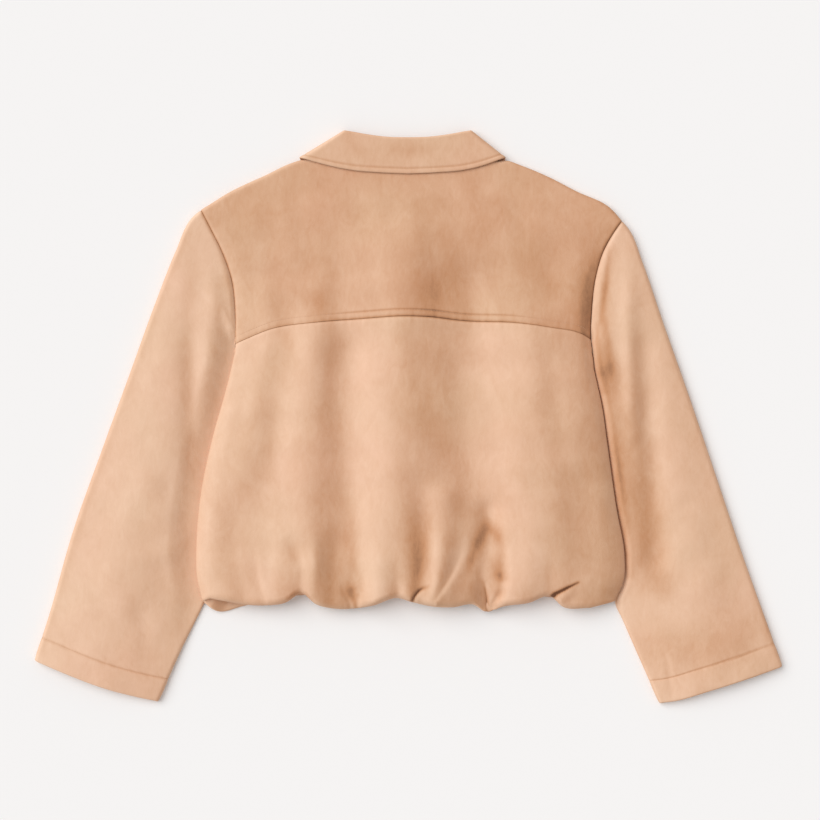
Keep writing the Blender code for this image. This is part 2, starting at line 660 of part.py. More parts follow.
def collar_surface():
    """Stand, roll and fall, in sections from the left front end round to the right."""
    left, left_phase = collar_half("left")
    right, right_phase = collar_half("right")
    points = np.concatenate([left[:0:-1], right])
    phase = np.concatenate([left_phase[:0:-1], right_phase])
    is_left = np.arange(len(phase)) < len(left_phase) - 1
    lift = np.sin(phase)
    middle = FOLD_MIDDLE + LAYER / 2
    neck, roll, edge = points[:, 0], points[:, 1], points[:, 2]
    over = over_right_front(neck[:, 0]) * is_left * (lift < 0) * OVERLAP_RISE
    stand = middle + (SHOULDER_TOP - middle) * lift + over
    fall = middle + (SHOULDER_TOP - middle + LAYER) * lift
    spring = COLLAR_SPRING * np.clip(lift, 0, 1)
    rows = []
    for part in COLLAR_STAND:
        rows.append(with_height(neck + (roll - neck) * part, stand))
    rows.append(with_height(roll, (stand + fall + spring) / 2))
    for part in COLLAR_FALL:
        rows.append(with_height(roll + (edge - roll) * part, fall + spring * (1 - part / 2)))
    return np.array(rows)


# Meshes

def drawn_back(lines, level=False):
    """Rows of points that run inwards from a seam, with the seam's points drawn back.

    Each moves half the gap, away from the seam line, and those close behind it less.
    With level, none moves up or down.
    """
    beside = lines[1] - lines[0]
    close = np.linalg.norm(beside, axis=1) < CLOSE
    step = np.where(close[:, None], lines[3] - lines[0], beside)
    seam = np.gradient(lines[0], axis=0)
    seam /= np.linalg.norm(seam, axis=1, keepdims=True)
    step -= np.sum(step * seam, axis=1, keepdims=True) * seam
    step /= np.linalg.norm(step, axis=1, keepdims=True)
    if level:
        step[:, 2] = 0
    distance = np.linalg.norm(lines - lines[0], axis=2, keepdims=True)
    return lines + step * SEAM_GAP / 2 * np.clip(1 - distance / FOLD_REACH, 0, 1)


def seam_inset(points, closed):
    """The grid with each of its open edges drawn back from the seam line by half the gap."""
    points = drawn_back(points, level=closed)
    points = drawn_back(points[::-1], level=closed)[::-1]
    if not closed:
        across = points.transpose(1, 0, 2)
        across = drawn_back(across)
        points = drawn_back(across[::-1])[::-1].transpose(1, 0, 2)
    return points


def suede():
    """The material of one piece."""
    material = bpy.data.materials.new("suede")
    material.use_nodes = True
    shader = material.node_tree.nodes["Principled BSDF"]
    shader.inputs["Base Color"].default_value = SUEDE
    shader.inputs["Roughness"].default_value = SUEDE_ROUGHNESS
    shader.inputs["Metallic"].default_value = 0.0
    return material


def cloth_piece(name, points, collection, closed=False):
    """A piece of cloth on a grid of points; closed joins its last column to its first."""
    points = seam_inset(points, closed) * MM
    rows, columns = points.shape[:2]
    spare = 1 if closed else 0
    mesh = bpy.data.meshes.new(name)
    grid = bmesh.new()
    bmesh.ops.create_grid(grid, x_segments=columns - 1 + spare, y_segments=rows - 1, size=1)
    grid.verts.ensure_lookup_table()
    for index, vert in enumerate(grid.verts):
        row, column = divmod(index, columns + spare)
        vert.co = points[row, column % columns]
    if closed:
        bmesh.ops.remove_doubles(grid, verts=grid.verts, dist=WELD)
    bmesh.ops.recalc_face_normals(grid, faces=grid.faces)
    grid.to_mesh(mesh)
    grid.free()
    mesh.shade_smooth()
    mesh.materials.append(suede())
    piece = bpy.data.objects.new(name, mesh)
    collection.objects.link(piece)
    solid = piece.modifiers.new("cloth", "SOLIDIFY")
    solid.thickness = CLOTH * MM
    solid.offset = 0
    return piece


def main():
    for old in list(bpy.data.objects):
        bpy.data.objects.remove(old)
    collection = bpy.data.collections.new("suede_jacket")
    bpy.context.scene.collection.children.link(collection)
    cloth_piece("back_yoke", yoke_surface(), collection)
    cloth_piece("back_panel", back_surface(), collection)
    for side in SIDES:
        cloth_piece("front_" + side, front_surface(side), collection)
        cloth_piece("sleeve_" + side, sleeve_surface(side), collection, closed=True)
    cloth_piece("collar", collar_surface(), collection)


main()
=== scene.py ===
"""The looks of a cropped suede jacket, laid face down.

Every piece is a fine shell on its solid's form: the solid's own outlines and heights at more
stations, with the creases, gathers, seams and stitches that the solid leaves out. Lengths are
millimetres until a mesh is made. +X is the wearer's right, +Y points to the collar.
"""
import math
from collections import namedtuple

import bmesh
import bpy
import numpy as np
from mathutils import Matrix, Vector


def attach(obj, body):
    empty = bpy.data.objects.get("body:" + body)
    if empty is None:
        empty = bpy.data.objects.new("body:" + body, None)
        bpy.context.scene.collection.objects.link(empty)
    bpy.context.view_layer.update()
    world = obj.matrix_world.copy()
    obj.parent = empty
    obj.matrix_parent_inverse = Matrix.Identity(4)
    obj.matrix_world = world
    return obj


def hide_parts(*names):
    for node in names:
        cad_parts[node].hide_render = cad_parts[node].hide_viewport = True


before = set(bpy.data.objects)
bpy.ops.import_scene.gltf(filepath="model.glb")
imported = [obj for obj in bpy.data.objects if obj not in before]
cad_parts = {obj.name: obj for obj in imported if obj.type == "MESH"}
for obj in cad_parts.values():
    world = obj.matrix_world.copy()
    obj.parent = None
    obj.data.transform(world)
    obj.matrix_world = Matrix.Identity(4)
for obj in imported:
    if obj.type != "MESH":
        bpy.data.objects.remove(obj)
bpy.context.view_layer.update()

MM = 0.001
TINY = 1e-9                 # keeps a length from being nothing
SIDES = ("left", "right")   # the wearer's
OUTWARD = {"left": -1, "right": 1}      # which way along x is out from the middle


def table(kind, rows):
    """Rows of plain values as named ones."""
    return tuple(kind(*row) for row in rows)


# Cloth, seams and layers
CLOTH = 1.6
SEAM_GAP = 0.3
FLOOR = CLOTH / 2           # middle of a layer that lies on the surface
LAYER = 2.0                 # from the middle of one layer to the next, where they touch
SLEEVE_PRESSED = 3.6        # middle of a sleeve's upper layer, where the body lies on it
FRONT_OVER_SLEEVE = 7.0     # middle of the front, where it lies on a sleeve
FOLD_REACH = 5.0            # how far from a fold's edge its turn ends, from above
SHOULDER_TOP = 8.6          # upper layer beside the shoulder fold and the sleeve's outer fold
FOLD_MIDDLE = 4.7           # height of those folds' edges
CENTRE_OVERLAP = 15.0       # how far each front passes the centre line
OVERLAP_RISE = 2.8          # from the right front's middle up to the left one's on it
OVERLAP_CLIMB = (62.0, 34.0)    # from the front edges to where one climbs onto the other
SIDE_CLEAR = 14.0           # from the side fold in to where the front may leave the sleeve
SLEEVE_EDGE_CLEAR = 8.0     # the front leaves the sleeve from this far past its edge
SURFACE_CLEAR = 30.0        # and is down on the surface this far past it
UNDERARM_EASE = 1.3         # extra room between front and sleeve just above the underarm
SLEEVE_CROWN = 5.0          # how far a sleeve's upper layer stands above its edges
OVER_COLLAR = (170.0, 145.0)    # x, either way, between which the shoulders climb onto the collar
COLLAR_CLIMB = (150.0, 178.0)   # y between which a front climbs onto the collar
OVERLAP_HEM = (-130.0, -160.0)  # y between which the left front climbs onto the right one's hem

# Parts of the way from an underarm up to the end of the yoke seam
FRONT_LEAVES = 0.65         # the front comes off the sleeve from here to the seam
INSET_END = 3.0             # the cloth stands in from its outline up to here
CROWDING_END = 1.5          # a sleeve's columns are drawn to the body's edge up to here

# The back, by parts of the way from its centre to its sides
DOME_POWER = 3              # the higher, the flatter its middle
FOLDS_FADE = 0.8            # its broad folds fade out from here
CREASES_FADE = 0.94         # and its creases from here
CREASES_BELOW = (18.0, 48.0)    # creases start between these distances below the shoulders

# A sleeve's upper layer, by parts of the way down it, and across it from its outer fold
RIM_LEVEL = 0.3             # across: its rim is level up to here
SLEEVE_DOME_POWER = 0.8     # the sine that its cross-section follows, to this power
INNER_RISE = 3.2            # how much higher the inner fold's rim is at the cuff
INNER_RISES = (0.72, 0.95)  # down: where that rim rises
SLEEVE_FOLDS_FADE = (0.97, 0.85)    # down: where its folds have faded out and where they start to
ARMHOLE_BLEND = 0.16        # down: where it has left the back's height
BODY_FOOT = -215.0          # y down to which the body's outline counts
BODY_END = (-290.0, -235.0)     # y between which it comes to lie under the body
CROWDING_FOOT = (-240.0, -215.0)    # y between which its columns are drawn to the body's edge
FREE_ABOVE = 20.0           # the body is off it from this far above the yoke seam's end
FREE_FURTHER = 30.0         # and from this much further, at FREE_OUT from the armhole
FREE_OUT = 20.0

# The turn of a fold, from its edge to its top: a quarter of a rounded square
TURN = np.linspace(0, math.pi / 2, 10)
TURN_POWER = 0.72
TURN_REACH = 1 - np.cos(TURN) ** TURN_POWER
BETWEEN_TURNS = slice(len(TURN), -len(TURN))    # a grid's columns without those of its turns

# Hems
HEM_DEPTH = 38.0            # depth of the body's turned-in hem
HEM_INSIDE = 11.0           # height of the back's turned-in layer
HEM_INSIDE_RISE = 1.5       # and how much higher it is over the sleeves
HEM_SIDE_TURN = 2.0         # radius of the hem's turn at the side seams
HEM_FULLNESS = 5.0          # how much further the hem's turn reaches at its middle
HEM_EASE = 48.0             # how far from the hem its rows are drawn up for that turn
HEM_TURN = np.linspace(0, math.pi, 12)[1:-1]
HEM_SLOPE = 0.8             # the steepest slope that a turn takes on from its rows
CUFF_DEPTH = 27.0
CUFF_TURN = 1.15            # radius of the turn at a cuff's edge
CUFF_EASE = 3 * CUFF_TURN   # how far from the edge the cloth is drawn back for that turn

# Outlines seen from above, in rows of x and y
SHOULDER = {
    "left": ((-244, 243), (-234, 249), (-215, 261), (-163, 286), (-140, 297), (-128, 301),
             (-115, 303), (-98, 309)),
    "right": ((251, 230), (236, 246), (197, 265), (166, 281), (130, 296), (117, 300.5),
              (104, 300.5), (87, 309)),
}
ARMHOLE = {
    "left": ((-244, 243), (-232, 220), (-220, 196), (-208, 161), (-204, 122), (-204, 86),
             (-204, 76)),
    "right": ((251, 230), (240, 214), (230, 196), (221, 167), (216, 126), (215, 91),
              (218, 56)),
}
SIDE_FOLD = {
    "left": ((-204, 76), (-214, 34), (-230, -24), (-245, -98), (-249, -147), (-248, -192),
             (-243, -215)),
    "right": ((218, 56), (228, 9), (233, -27), (244, -105), (254, -166), (253, -192),
              (243, -216)),
}
SLEEVE_OUTER = {
    "left": ((-244, 243), (-254, 234), (-273, 195), (-297, 134), (-326, 54), (-357, -31),
             (-395, -138), (-422, -233), (-439, -286)),
    "right": ((251, 230), (259, 220), (275, 181), (299, 111), (330, 23), (363, -75),
              (395, -170), (424, -251), (439, -293)),
}
SLEEVE_INNER = {
    "left": ((-204, 76), (-201, 55), (-187, 22), (-176, -15), (-179, -70), (-242, -222),
             (-267, -273), (-294, -334)),
    "right": ((218, 56), (217, 38), (203, 5), (190, -30), (192, -80), (244, -219),
              (268, -275), (295, -336)),
}
CUFF = {
    "left": ((-439, -286), (-405, -300), (-363, -316), (-321, -328), (-294, -334)),
    "right": ((439, -293), (401, -306), (348, -323), (315, -333), (295, -336)),
}
YOKE_SEAM = ((-204, 86), (-158, 104), (-106, 111), (-55, 115), (-5, 118), (26, 117),
             (62, 113), (130, 110), (166, 105), (202, 98), (215, 91))
BACK_NECK = ((-98, 309), (-70, 303), (-36, 299), (-5, 298), (26, 299), (60, 303), (87, 309))
FRONT_NECK = {
    "left": ((-98, 309), (-92, 280), (-62, 245), (-5, 229)),
    "right": ((87, 309), (81, 280), (52, 245), (-5, 229)),
}

# The back's hem, in rows of x, y and how far the cloth sinks into a gather there
Gather = namedtuple("Gather", "x y sink")
BACK_HEM = table(Gather, (
    (-232, -212, 1), (-210, -216, 0), (-192, -219, 2), (-168, -220, 0), (-145, -217, 1),
    (-125, -206, 3), (-107, -219, 1), (-85, -224, 0), (-65, -224, 4), (-42, -220, 1),
    (-13, -211, 3.5), (5, -216, 1), (28, -221, 0), (52, -222, 1), (76, -219, 2),
    (91, -228, 6), (112, -221, 0), (140, -217, 1), (166, -209, 3), (182, -222, 1),
    (212, -223, 0),
))
GATHER_REACH = 34.0
FRONT_HEM = {
    "left": ((-243, -215), (-224, -228), (-195, -222), (-150, -212), (-80, -207), (15, -207)),
    "right": ((243, -216), (224, -219), (195, -215), (150, -210), (80, -207), (-15, -207)),
}

# Height of the back's middle surface at its sides and along its centre
Level = namedtuple("Level", "y rim crown")
BACK_LEVELS = table(Level, (
    (320, 8.6, 8.7), (295, 8.6, 8.8), (243, 8.6, 11.0), (120, 9.0, 14.5), (92, 9.6, 16.0),
    (66, 11.8, 17.6), (20, 15.6, 21.0), (-50, 18.0, 24.5), (-150, 18.0, 27.0),
    (-200, 18.0, 25.5), (-230, 18.0, 22.5),
))

# Broad folds: a straight crest from one end to the other, its half-width and its height.
# A trough has a height below zero.
Fold = namedtuple("Fold", "x0 y0 x1 y1 width height")
BACK_FOLDS = table(Fold, (
    (-172, 79, -189, -62, 24, 2.5),
    (-113, 85, -120, -195, 32, 5.0),
    (-74, 70, -68, -215, 26, -4.5),
    (-6, 190, -17, -205, 46, 8.0),
    (72, 150, 74, -80, 34, -4.0),
    (44, -95, 42, -205, 18, 4.5),
    (95, -110, 92, -222, 15, -5.0),
    (145, 90, 160, -190, 42, 6.0),
    (-110, 150, -108, 75, 26, 2.0),
))
SLEEVE_FOLDS = {
    "left": table(Fold, (
        (-242, 190, -262, -120, 20, -2.2),
        (-300, 60, -345, -200, 30, 1.6),
    )),
    "right": table(Fold, (
        (262, 200, 264, -20, 11, 2.0),
        (281, 80, 290, -165, 15, -2.4),
        (312, 60, 350, -190, 24, 1.8),
    )),
}

# Finer creases, each on a curve through three points, with its half-width at both ends and
# its height at the three points. A positive lean makes its left side the steeper one, seen
# from its start; most have none.
Crease = namedtuple("Crease", "start middle end widths heights lean", defaults=(0,))
BACK_CREASES = table(Crease, (
    # along the sides
    ((203, 195), (198, 60), (206, -90), (22, 20), (0, 3.0, 0)),
    ((-190, 70), (-212, -60), (-229, -205), (20, 14), (0, 1.2, 0.8)),
    # on the yoke
    ((56, 186), (40, 150), (30, 112), (24, 22), (0, -1.5, -0.6)),
    ((-88, 172), (-86, 137), (-84, 108), (16, 14), (0, -1.4, -0.6)),
    ((-172, 168), (-168, 124), (-162, 90), (17, 16), (0, 2.0, 0.8)),
    ((150, 214), (163, 168), (166, 122), (16, 16), (0, -1.2, 0)),
    # down the panel
    ((-146, 80), (-155, 0), (-176, -130), (15, 18), (0, -1.6, -0.6)),
    ((13, -50), (17, -120), (12, -214), (14, 9), (0, -2.2, -2.8)),
    # gathers, from the wearer's left
    ((-183, -144), (-177, -185), (-169, -216), (9, 6), (0, -1.1, -1.0), 0.3),
    ((-150, -120), (-152, -170), (-153, -218), (14, 9), (0, 1.0, 1.0)),
    ((-144, -140), (-131, -158), (-124, -178), (10, 8), (0, -2.0, -0.4)),
    ((-112, -128), (-108, -165), (-112, -200), (8, 8), (0, 1.6, 0.6)),
    ((-132, -186), (-128, -198), (-126, -208), (10, 7), (0, -0.6, -1.6)),
    ((-76, -110), (-86, -160), (-90, -220), (13, 11), (0, -1.8, -2.2)),
    ((-80, -182), (-76, -204), (-66, -224), (4, 3), (0, -0.5, -0.9), -0.3),
    ((-52, -182), (-55, -206), (-61, -226), (3.4, 2.4), (0, -0.7, -1.2), 0.3),
    ((-66, -198), (-64, -208), (-61, -220), (8, 4), (-0.5, -1.3, -0.6)),
    ((-40, -140), (-36, -188), (-38, -222), (15, 13), (0, 1.2, 1.8)),
    ((-15, -186), (-12, -200), (-12, -213), (7, 6), (0, -1.0, -2.4)),
    ((24, -196), (11, -204), (2, -217), (2.2, 2.6), (0, -1.5, -2.4), -0.3),
    ((40, -120), (36, -170), (31, -214), (13, 7), (0, 1.6, 2.0)),
    ((66, -140), (53, -176), (32, -212), (9, 4), (0, -1.5, -1.2), 0.3),
    # the arch of cloth round the deepest gather
    ((99, -127), (84, -141), (68, -188), (10, 6), (-0.3, -0.7, -0.3)),
    ((95, -125), (107, -147), (113, -190), (9, 5.5), (-0.5, -1.3, -1.5)),
    ((92, -152), (95, -182), (99, -212), (9, 8), (0, 1.8, 1.2)),
    ((105, -176), (108, -186), (110, -194), (6, 6), (-0.2, -0.8, -0.6)),
    ((89, -190), (91.5, -208), (93, -230), (2.2, 1.8), (0, -1.8, -2.8)),
    ((112, -197), (106, -209), (99, -221), (5, 4), (-0.4, -2.4, -2.0)),
    # and on to the wearer's right
    ((141, -110), (138, -170), (132, -222), (17, 14), (0, 1.4, 1.8)),
    ((197, -193.5), (184, -200.5), (169, -208.5), (1.3, 2.2), (0, -1.4, -1.4)),
    ((195, -201), (184, -209), (172, -217), (5, 6), (0, 1.0, 1.4)),
    ((216, -170), (210, -195), (204, -223), (14, 12), (0, 0.8, 1.2)),
))
SLEEVE_CREASES = {
    "left": table(Crease, (
        ((-262, 215), (-258, 100), (-255, -130), (12, 13), (0, -2.0, -0.6)),
        ((-232, 205), (-229, 150), (-226, 110), (10, 9), (0, 1.6, 0.5)),
        ((-352, -70), (-322, -64), (-285, -84), (11, 9), (0, 0.9, 0)),
        ((-300, -20), (-318, -34), (-346, -28), (9, 9), (0, -0.8, 0)),
        ((-268, -150), (-296, -164), (-330, -160), (12, 10), (0, 0.9, 0)),
        ((-322, -214), (-310, -250), (-312, -290), (10, 9), (0, -0.9, 0)),
        ((-278, 150), (-288, 110), (-290, 50), (9, 9), (0, 0.9, 0)),
    )),
    "right": table(Crease, (
        ((256, 205), (258, 90), (262, -30), (9, 9), (0, 1.8, 0)),
        ((280, 150), (284, 0), (290, -190), (16, 18), (0, -1.4, -1.4)),
        ((306, -10), (326, -36), (356, -40), (10, 9), (0, 0.9, 0)),
        ((296, -96), (318, -104), (348, -92), (10, 10), (0, -0.9, 0)),
        ((330, -190), (352, -210), (388, -206), (12, 9), (0, 0.9, 0)),
        ((300, -272), (306, -298), (309, -326), (4, 4), (0, -1.0, -0.8)),
        ((290, 168), (300, 120), (298, 70), (9, 9), (0, 0.7, 0)),
    )),
}
# Creases of the layers that lie on the surface: the cloth only buckles up from it
UNDER_CREASES = {
    "front_left": table(Crease, (
        ((-64, -186), (-70, -120), (-86, -40), (10, 13), (0, 2.4, 0)),
        ((-112, -176), (-106, -120), (-112, -60), (9, 11), (0, 1.8, 0)),
        ((-150, 24), (-116, 42), (-78, 34), (10, 10), (0, 1.7, 0)),
        ((-128, 140), (-100, 108), (-92, 56), (10, 9), (0, 2.0, 0)),
        ((-64, 120), (-70, 60), (-62, 0), (12, 10), (0, 1.4, 0)),
    )),
    "front_right": table(Crease, (
        ((72, -186), (66, -116), (84, -30), (11, 12), (0, 2.2, 0)),
        ((126, -170), (120, -128), (128, -70), (10, 9), (0, 1.9, 0)),
        ((92, 20), (126, 44), (164, 30), (10, 11), (0, 1.8, 0)),
        ((132, 138), (108, 104), (98, 60), (9, 10), (0, 2.0, 0)),
    )),
    "sleeve_left": table(Crease, (
        ((-246, 170), (-268, 90), (-290, 10), (12, 12), (0, 1.8, 0)),
        ((-300, -30), (-330, -50), (-352, -90), (10, 11), (0, 2.0, 0)),
        ((-296, -170), (-330, -180), (-376, -170), (11, 10), (0, 2.0, 0)),
        ((-330, -236), (-348, -256), (-380, -262), (9, 9), (0, 1.6, 0)),
    )),
    "sleeve_right": table(Crease, (
        ((256, 160), (276, 84), (286, 0), (12, 11), (0, 1.7, 0)),
        ((312, -20), (330, -60), (350, -84), (11, 10), (0, 2.0, 0)),
        ((306, -186), (340, -176), (380, -190), (10, 11), (0, 1.9, 0)),
        ((338, -240), (356, -262), (386, -266), (9, 9), (0, 1.6, 0)),
    )),
}

# Painted light and shade, on the same kind of curve: in the three heights' place are tones. They
# are mostly painted shade in gathers, slits, creases and on the sleeves beside the body's edge, and
# painted light on parts in shade, such as the left front's hem corner. Deep gathers and slits are
# the darkest.
PAINTED_LIGHT_AND_SHADE_MARKS = {
    "back_yoke": table(Crease, (
        ((52, 180), (36, 144), (26, 116), (17, 16), (0, -0.04, -0.06)),
        ((-108, 156), (-106, 134), (-105, 112), (12, 11), (0, -0.08, 0)),
        ((32, 216), (22, 182), (22, 152), (12, 12), (0, 0.08, 0)),
        ((218, 190), (211, 138), (209, 96), (7, 10), (0, -0.12, -0.10)),
        ((190, 240), (170, 180), (176, 110), (34, 34), (0, -0.05, -0.05)),
        ((-172, 236), (-176, 196), (-172, 150), (16, 16), (0, 0.06, 0)),
    )),
    "back_panel": table(Crease, (
        ((104, -140), (95, -130), (83, -144), (9, 10), (-0.26, -0.32, -0.20)),
        ((82, -146), (74, -166), (66, -188), (6, 5), (-0.12, -0.20, 0)),
        ((102, -134), (109, -156), (111, -186), (5.5, 6), (-0.12, -0.18, -0.18)),
        ((105, -178), (107, -187), (109, -194), (6.5, 6.5), (-0.04, -0.16, -0.10)),
        ((89, -192), (92, -208), (93.5, -228), (2.2, 1.6), (0, -0.3, -0.6)),
        ((112, -197), (106, -209), (98, -221), (5, 4), (0, -0.16, -0.10)),
        ((-66, -203), (-64, -208), (-61, -223), (9, 2.6), (-0.34, -0.36, -0.20)),
        ((-70, -160), (-58, -180), (-54, -202), (6, 3), (0, -0.08, -0.10)),
        ((-78, -120), (-84, -170), (-86, -216), (12, 12), (0, -0.10, -0.12)),
        ((-140, -146), (-131, -160), (-124, -172), (10, 10), (0, -0.12, 0)),
        ((-140, -211), (-127, -206), (-112, -212), (3, 3), (-0.10, -0.16, -0.10)),
        ((0, -90), (5, -150), (4, -200), (12, 10), (0, -0.12, -0.14)),
        ((198, -193), (184, -200.5), (168.5, -208.5), (1.6, 2.8), (-0.45, -0.80, -0.95)),
        ((24, -197), (11, -204), (2, -217), (1.8, 2.2), (-0.1, -0.4, -0.5)),
        ((226, -20), (232, -130), (228, -206), (10, 14), (0, 0.04, 0)),
        ((-72, -100), (-68, -145), (-64, -190), (10, 9), (-0.08, -0.20, -0.12)),
        ((24, -104), (20, -156), (18, -200), (8, 8), (-0.08, -0.30, -0.22)),
        ((68, -126), (56, -170), (46, -206), (9, 8), (0.03, 0.12, 0.08)),
        ((98, -156), (103, -180), (102, -202), (8, 8), (-0.06, -0.26, -0.22)),
        ((150, -116), (153, -165), (151, -200), (12, 12), (0.03, 0.15, 0.12)),
        ((-34, -150), (-30, -185), (-30, -210), (9, 9), (0, 0.11, 0.10)),
        ((-160, -150), (-163, -180), (-162, -208), (7, 7), (0, 0.09, 0.07)),
        ((-100, 92), (-105, 50), (-104, 0), (8, 9), (0, 0.10, 0)),
        ((-142, 96), (-137, 74), (-128, 44), (8, 8), (-0.10, -0.07, 0)),
        ((-172, 16), (-175, -28), (-181, -72), (8, 9), (0, 0.09, 0)),
        ((-14, 88), (10, 20), (52, -50), (13, 16), (-0.05, -0.08, -0.06)),
        ((98, -56), (106, -98), (112, -146), (10, 10), (0, -0.08, -0.06)),
    )),
    "front_left": table(Crease, (
        ((-238, -224), (-222, -226), (-200, -220), (12, 12), (0.3, 0.3, 0.3)),
    )),
    "sleeve_left": table(Crease, (
        ((-224, 196), (-213, 160), (-209, 126), (3, 3.5), (0, -0.14, 0)),
        ((-262, 160), (-258, 40), (-255, -110), (10, 10), (0, -0.10, 0)),
        ((-262, 214), (-341, 12), (-435, -274), (7, 7), (-0.12, -0.15, -0.12)),
        ((-268, 24), (-275, -80), (-283, -172), (10, 12), (0, 0.12, 0.06)),
        ((-250, 192), (-257, 148), (-252, 100), (7, 8), (0, -0.10, 0)),
    )),
    "sleeve_right": table(Crease, (
        ((236, 198), (232.5, 160), (226, 112), (3, 3.2), (-0.06, -0.20, -0.14)),
        ((238, 196), (229, 140), (227, 56), (8, 12), (-0.12, -0.34, -0.26)),
        ((286, -30), (293, -120), (301, -200), (12, 15), (-0.06, -0.24, -0.20)),
        ((229, 124), (236, 78), (237, 22), (3, 8), (-0.06, -0.17, -0.08)),
        ((221.5, 108), (222.5, 76), (229, 30), (2.6, 4.5), (-0.08, -0.26, -0.20)),
        ((240, 52), (257, -70), (276, -192), (17, 24), (-0.22, -0.29, -0.18)),
        ((228, 48), (241, -30), (259, -186), (6, 6), (-0.10, -0.30, -0.18)),
        ((286, -270), (345, -272), (412, -246), (28, 28), (-0.16, -0.20, -0.08)),
    )),
    "collar": table(Crease, (
        ((-34, 316), (0, 313), (34, 317), (8, 8), (0, -0.12, 0)),
    )),
}
# Each piece's own tone of nap. The left sleeve's is lighter than the right's partly as painted
# light from the wearer's left, and the fronts' is raised partly as painted light, so that their hem
# corner reads light in the back's shadow.
YOKE_TONE = 0.52
PANEL_TONE = 0.64
FRONT_TONE_AND_LIGHT = 0.70
SLEEVE_TONE_AND_LIGHT = {"left": 0.77, "right": 0.73}
COLLAR_TONE = 0.64
PAINTED_SEAM_SHADE = 0.32           # painted shade, darker down in a seam
PAINTED_STITCH_SHADE = 0.20         # and painted shade along a stitched line
SHADE_REACH = 1.5
STEEP_EDGE_LIGHTER = 0.06            # how much lighter the colour is where the cloth stands steep, at a fold's edge
STEEP_LEVEL = (0.6, 0.2)     # the upward part of the normal where that lightening starts and where it is full

# Each piece as it is cut: its width and length, its area in square metres, and what it
# lies on. A sleeve's width is all round it.
Cut = namedtuple("Cut", "width length area rests_on")

# Collar sections, by their place along the neck seam, from the centre back to the side
# and from there to the front end: the roll line's point and the outer edge's, whose x
# differs between the wearer's left and right.
CollarSection = namedtuple("CollarSection", "place roll_x roll_y left_x right_x edge_y")
COLLAR_BACK = table(CollarSection, (
    (0.0, 0, 327.8, 0, 0, 285.5),
    (0.3, 24, 328.4, -35, 34, 287),
    (0.6, 47, 331.2, -68, 66, 290),
    (0.85, 65, 334.4, -99, 92, 296.5),
    (1.0, 75, 336, -128, 114, 304.5),
))
COLLAR_FRONT = table(CollarSection, (
    (0.0, 75, 336, -128, 114, 304.5),
    (0.1, 74, 331, -124, 112, 293),
    (0.3, 68, 305, -122, 112, 252),
    (0.6, 49, 272, -107, 98, 218),
    (1.0, 13, 250, -78, 72, 190),
))
COLLAR_CENTRE = -1.0        # x of the roll line's middle
COLLAR_SPRING = 1.6         # how far the fall stands off the back at its middle

# How far the back sinks beside its armholes and side folds, by y, and how far in from them
EDGE_SINK = {
    "left": ((-230, 3.4), (-100, 3.8), (20, 3.0), (60, 2.0), (78, 1.0), (92, 1.3), (140, 2.2),
             (190, 1.5), (232, 0)),
    "right": ((-230, 5.0), (-60, 5.2), (10, 4.0), (40, 3.0), (58, 2.2), (76, 2.2), (94, 3.0),
              (150, 3.4), (195, 2.0), (225, 0)),
}
SINK_REACH = {"left": 22.0, "right": 28.0}
# How far from the body a sleeve is free of it, and how far out it is fully pressed
PRESSED = {"left": (34, 0), "right": (3.5, 0)}
# How much closer a sleeve's columns are beside the body's edge
BODY_CROWDING = {"left": 0.0, "right": 0.6}
BODY_CROWDING_REACH = 7.0
# How far from an armhole its seam draws the sleeve down
ARMHOLE_GROOVE = {"left": 6.0, "right": 9.0}

# Numbers of steps
SHOULDER_STEPS = 70
ARMHOLE_STEPS = 84
UNDERARM_STEPS = 12
BACK_STEPS = 250
SIDE_STEPS = 66
HEM_ZONE = 1.5 * HEM_DEPTH  # the rows are close together this far from the hem
HEM_ZONE_STEPS = 64
FRONT_HEM_EASE = HEM_ZONE / 3       # how far from the hem a front's rows are drawn up
INSIDE_STRIDE = 3           # the turned-in layer has every third row of the outer one
SLEEVE_STEPS = 230
LOWER_STRIDE = 3            # a sleeve's lower layer has every third column of the upper one
FRONT_PARTS = (4, 8, 14, 9, 10)     # columns between the places where a front climbs
NECK_STEPS = 46             # half of the back neck
FRONT_NECK_STEPS = 60
YOKE_ROWS = 20              # rows above the yoke seam among which its stitches lie
CUFF_ROWS = 30              # rows above a cuff's edge among which its stitches lie
COLLAR_STAND = np.linspace(0.012, 0.96, 12)
COLLAR_FALL = np.linspace(0.04, 1, 34)
COLLAR_ROLL = np.linspace(0, math.pi, 12)[1:-1]
EDGE_SAMPLES = 30           # of each edge of the outline, where it is read by x or y
CREASE_SAMPLES = 13         # of a crease's curve
CREASE_END = 3              # a crease has all but gone this many half-widths away
SEAM_ROWS = 3               # rows over which the way in from a seam is taken
PACE_SAMPLES = 2000
CROWDING = 3.0              # how much closer steps are beside a mark
MARK_REACH = 3.5

# Seams and stitches
SEAM_DIP = 0.8              # how far cloth dips into a seam
DIP_REACH = 1.9
LEDGE = 0.16                # how far the yoke's lower edge stands above the panel
LEDGE_REACH = 5.0
PUCKER = 0.20               # height of the puckers along a seam
PUCKER_LENGTHS = (8.7, 13.1, 21.3, 37.7)
PUCKER_REACH = 9.0
GROOVE = 0.40               # depth of a stitched line
GROOVE_REACH = 1.0
YOKE_STITCH = 8.0           # from the yoke's lower edge up to its stitched line
COLLAR_STITCH = 6.0         # from the collar's edge to its stitched line
COLLAR_SWELL = 0.35         # how far the cloth swells between them
CUFF_PUFF = 0.45            # how far a cuff swells between its stitches and its edge
PUFF_POWER = 0.6            # the lower, the steeper that swelling is at its edges
STITCH = 2.7
STITCH_PITCH = 3.3
STITCH_SIDES, STITCH_RINGS = 8, 6
THREAD = 0.42

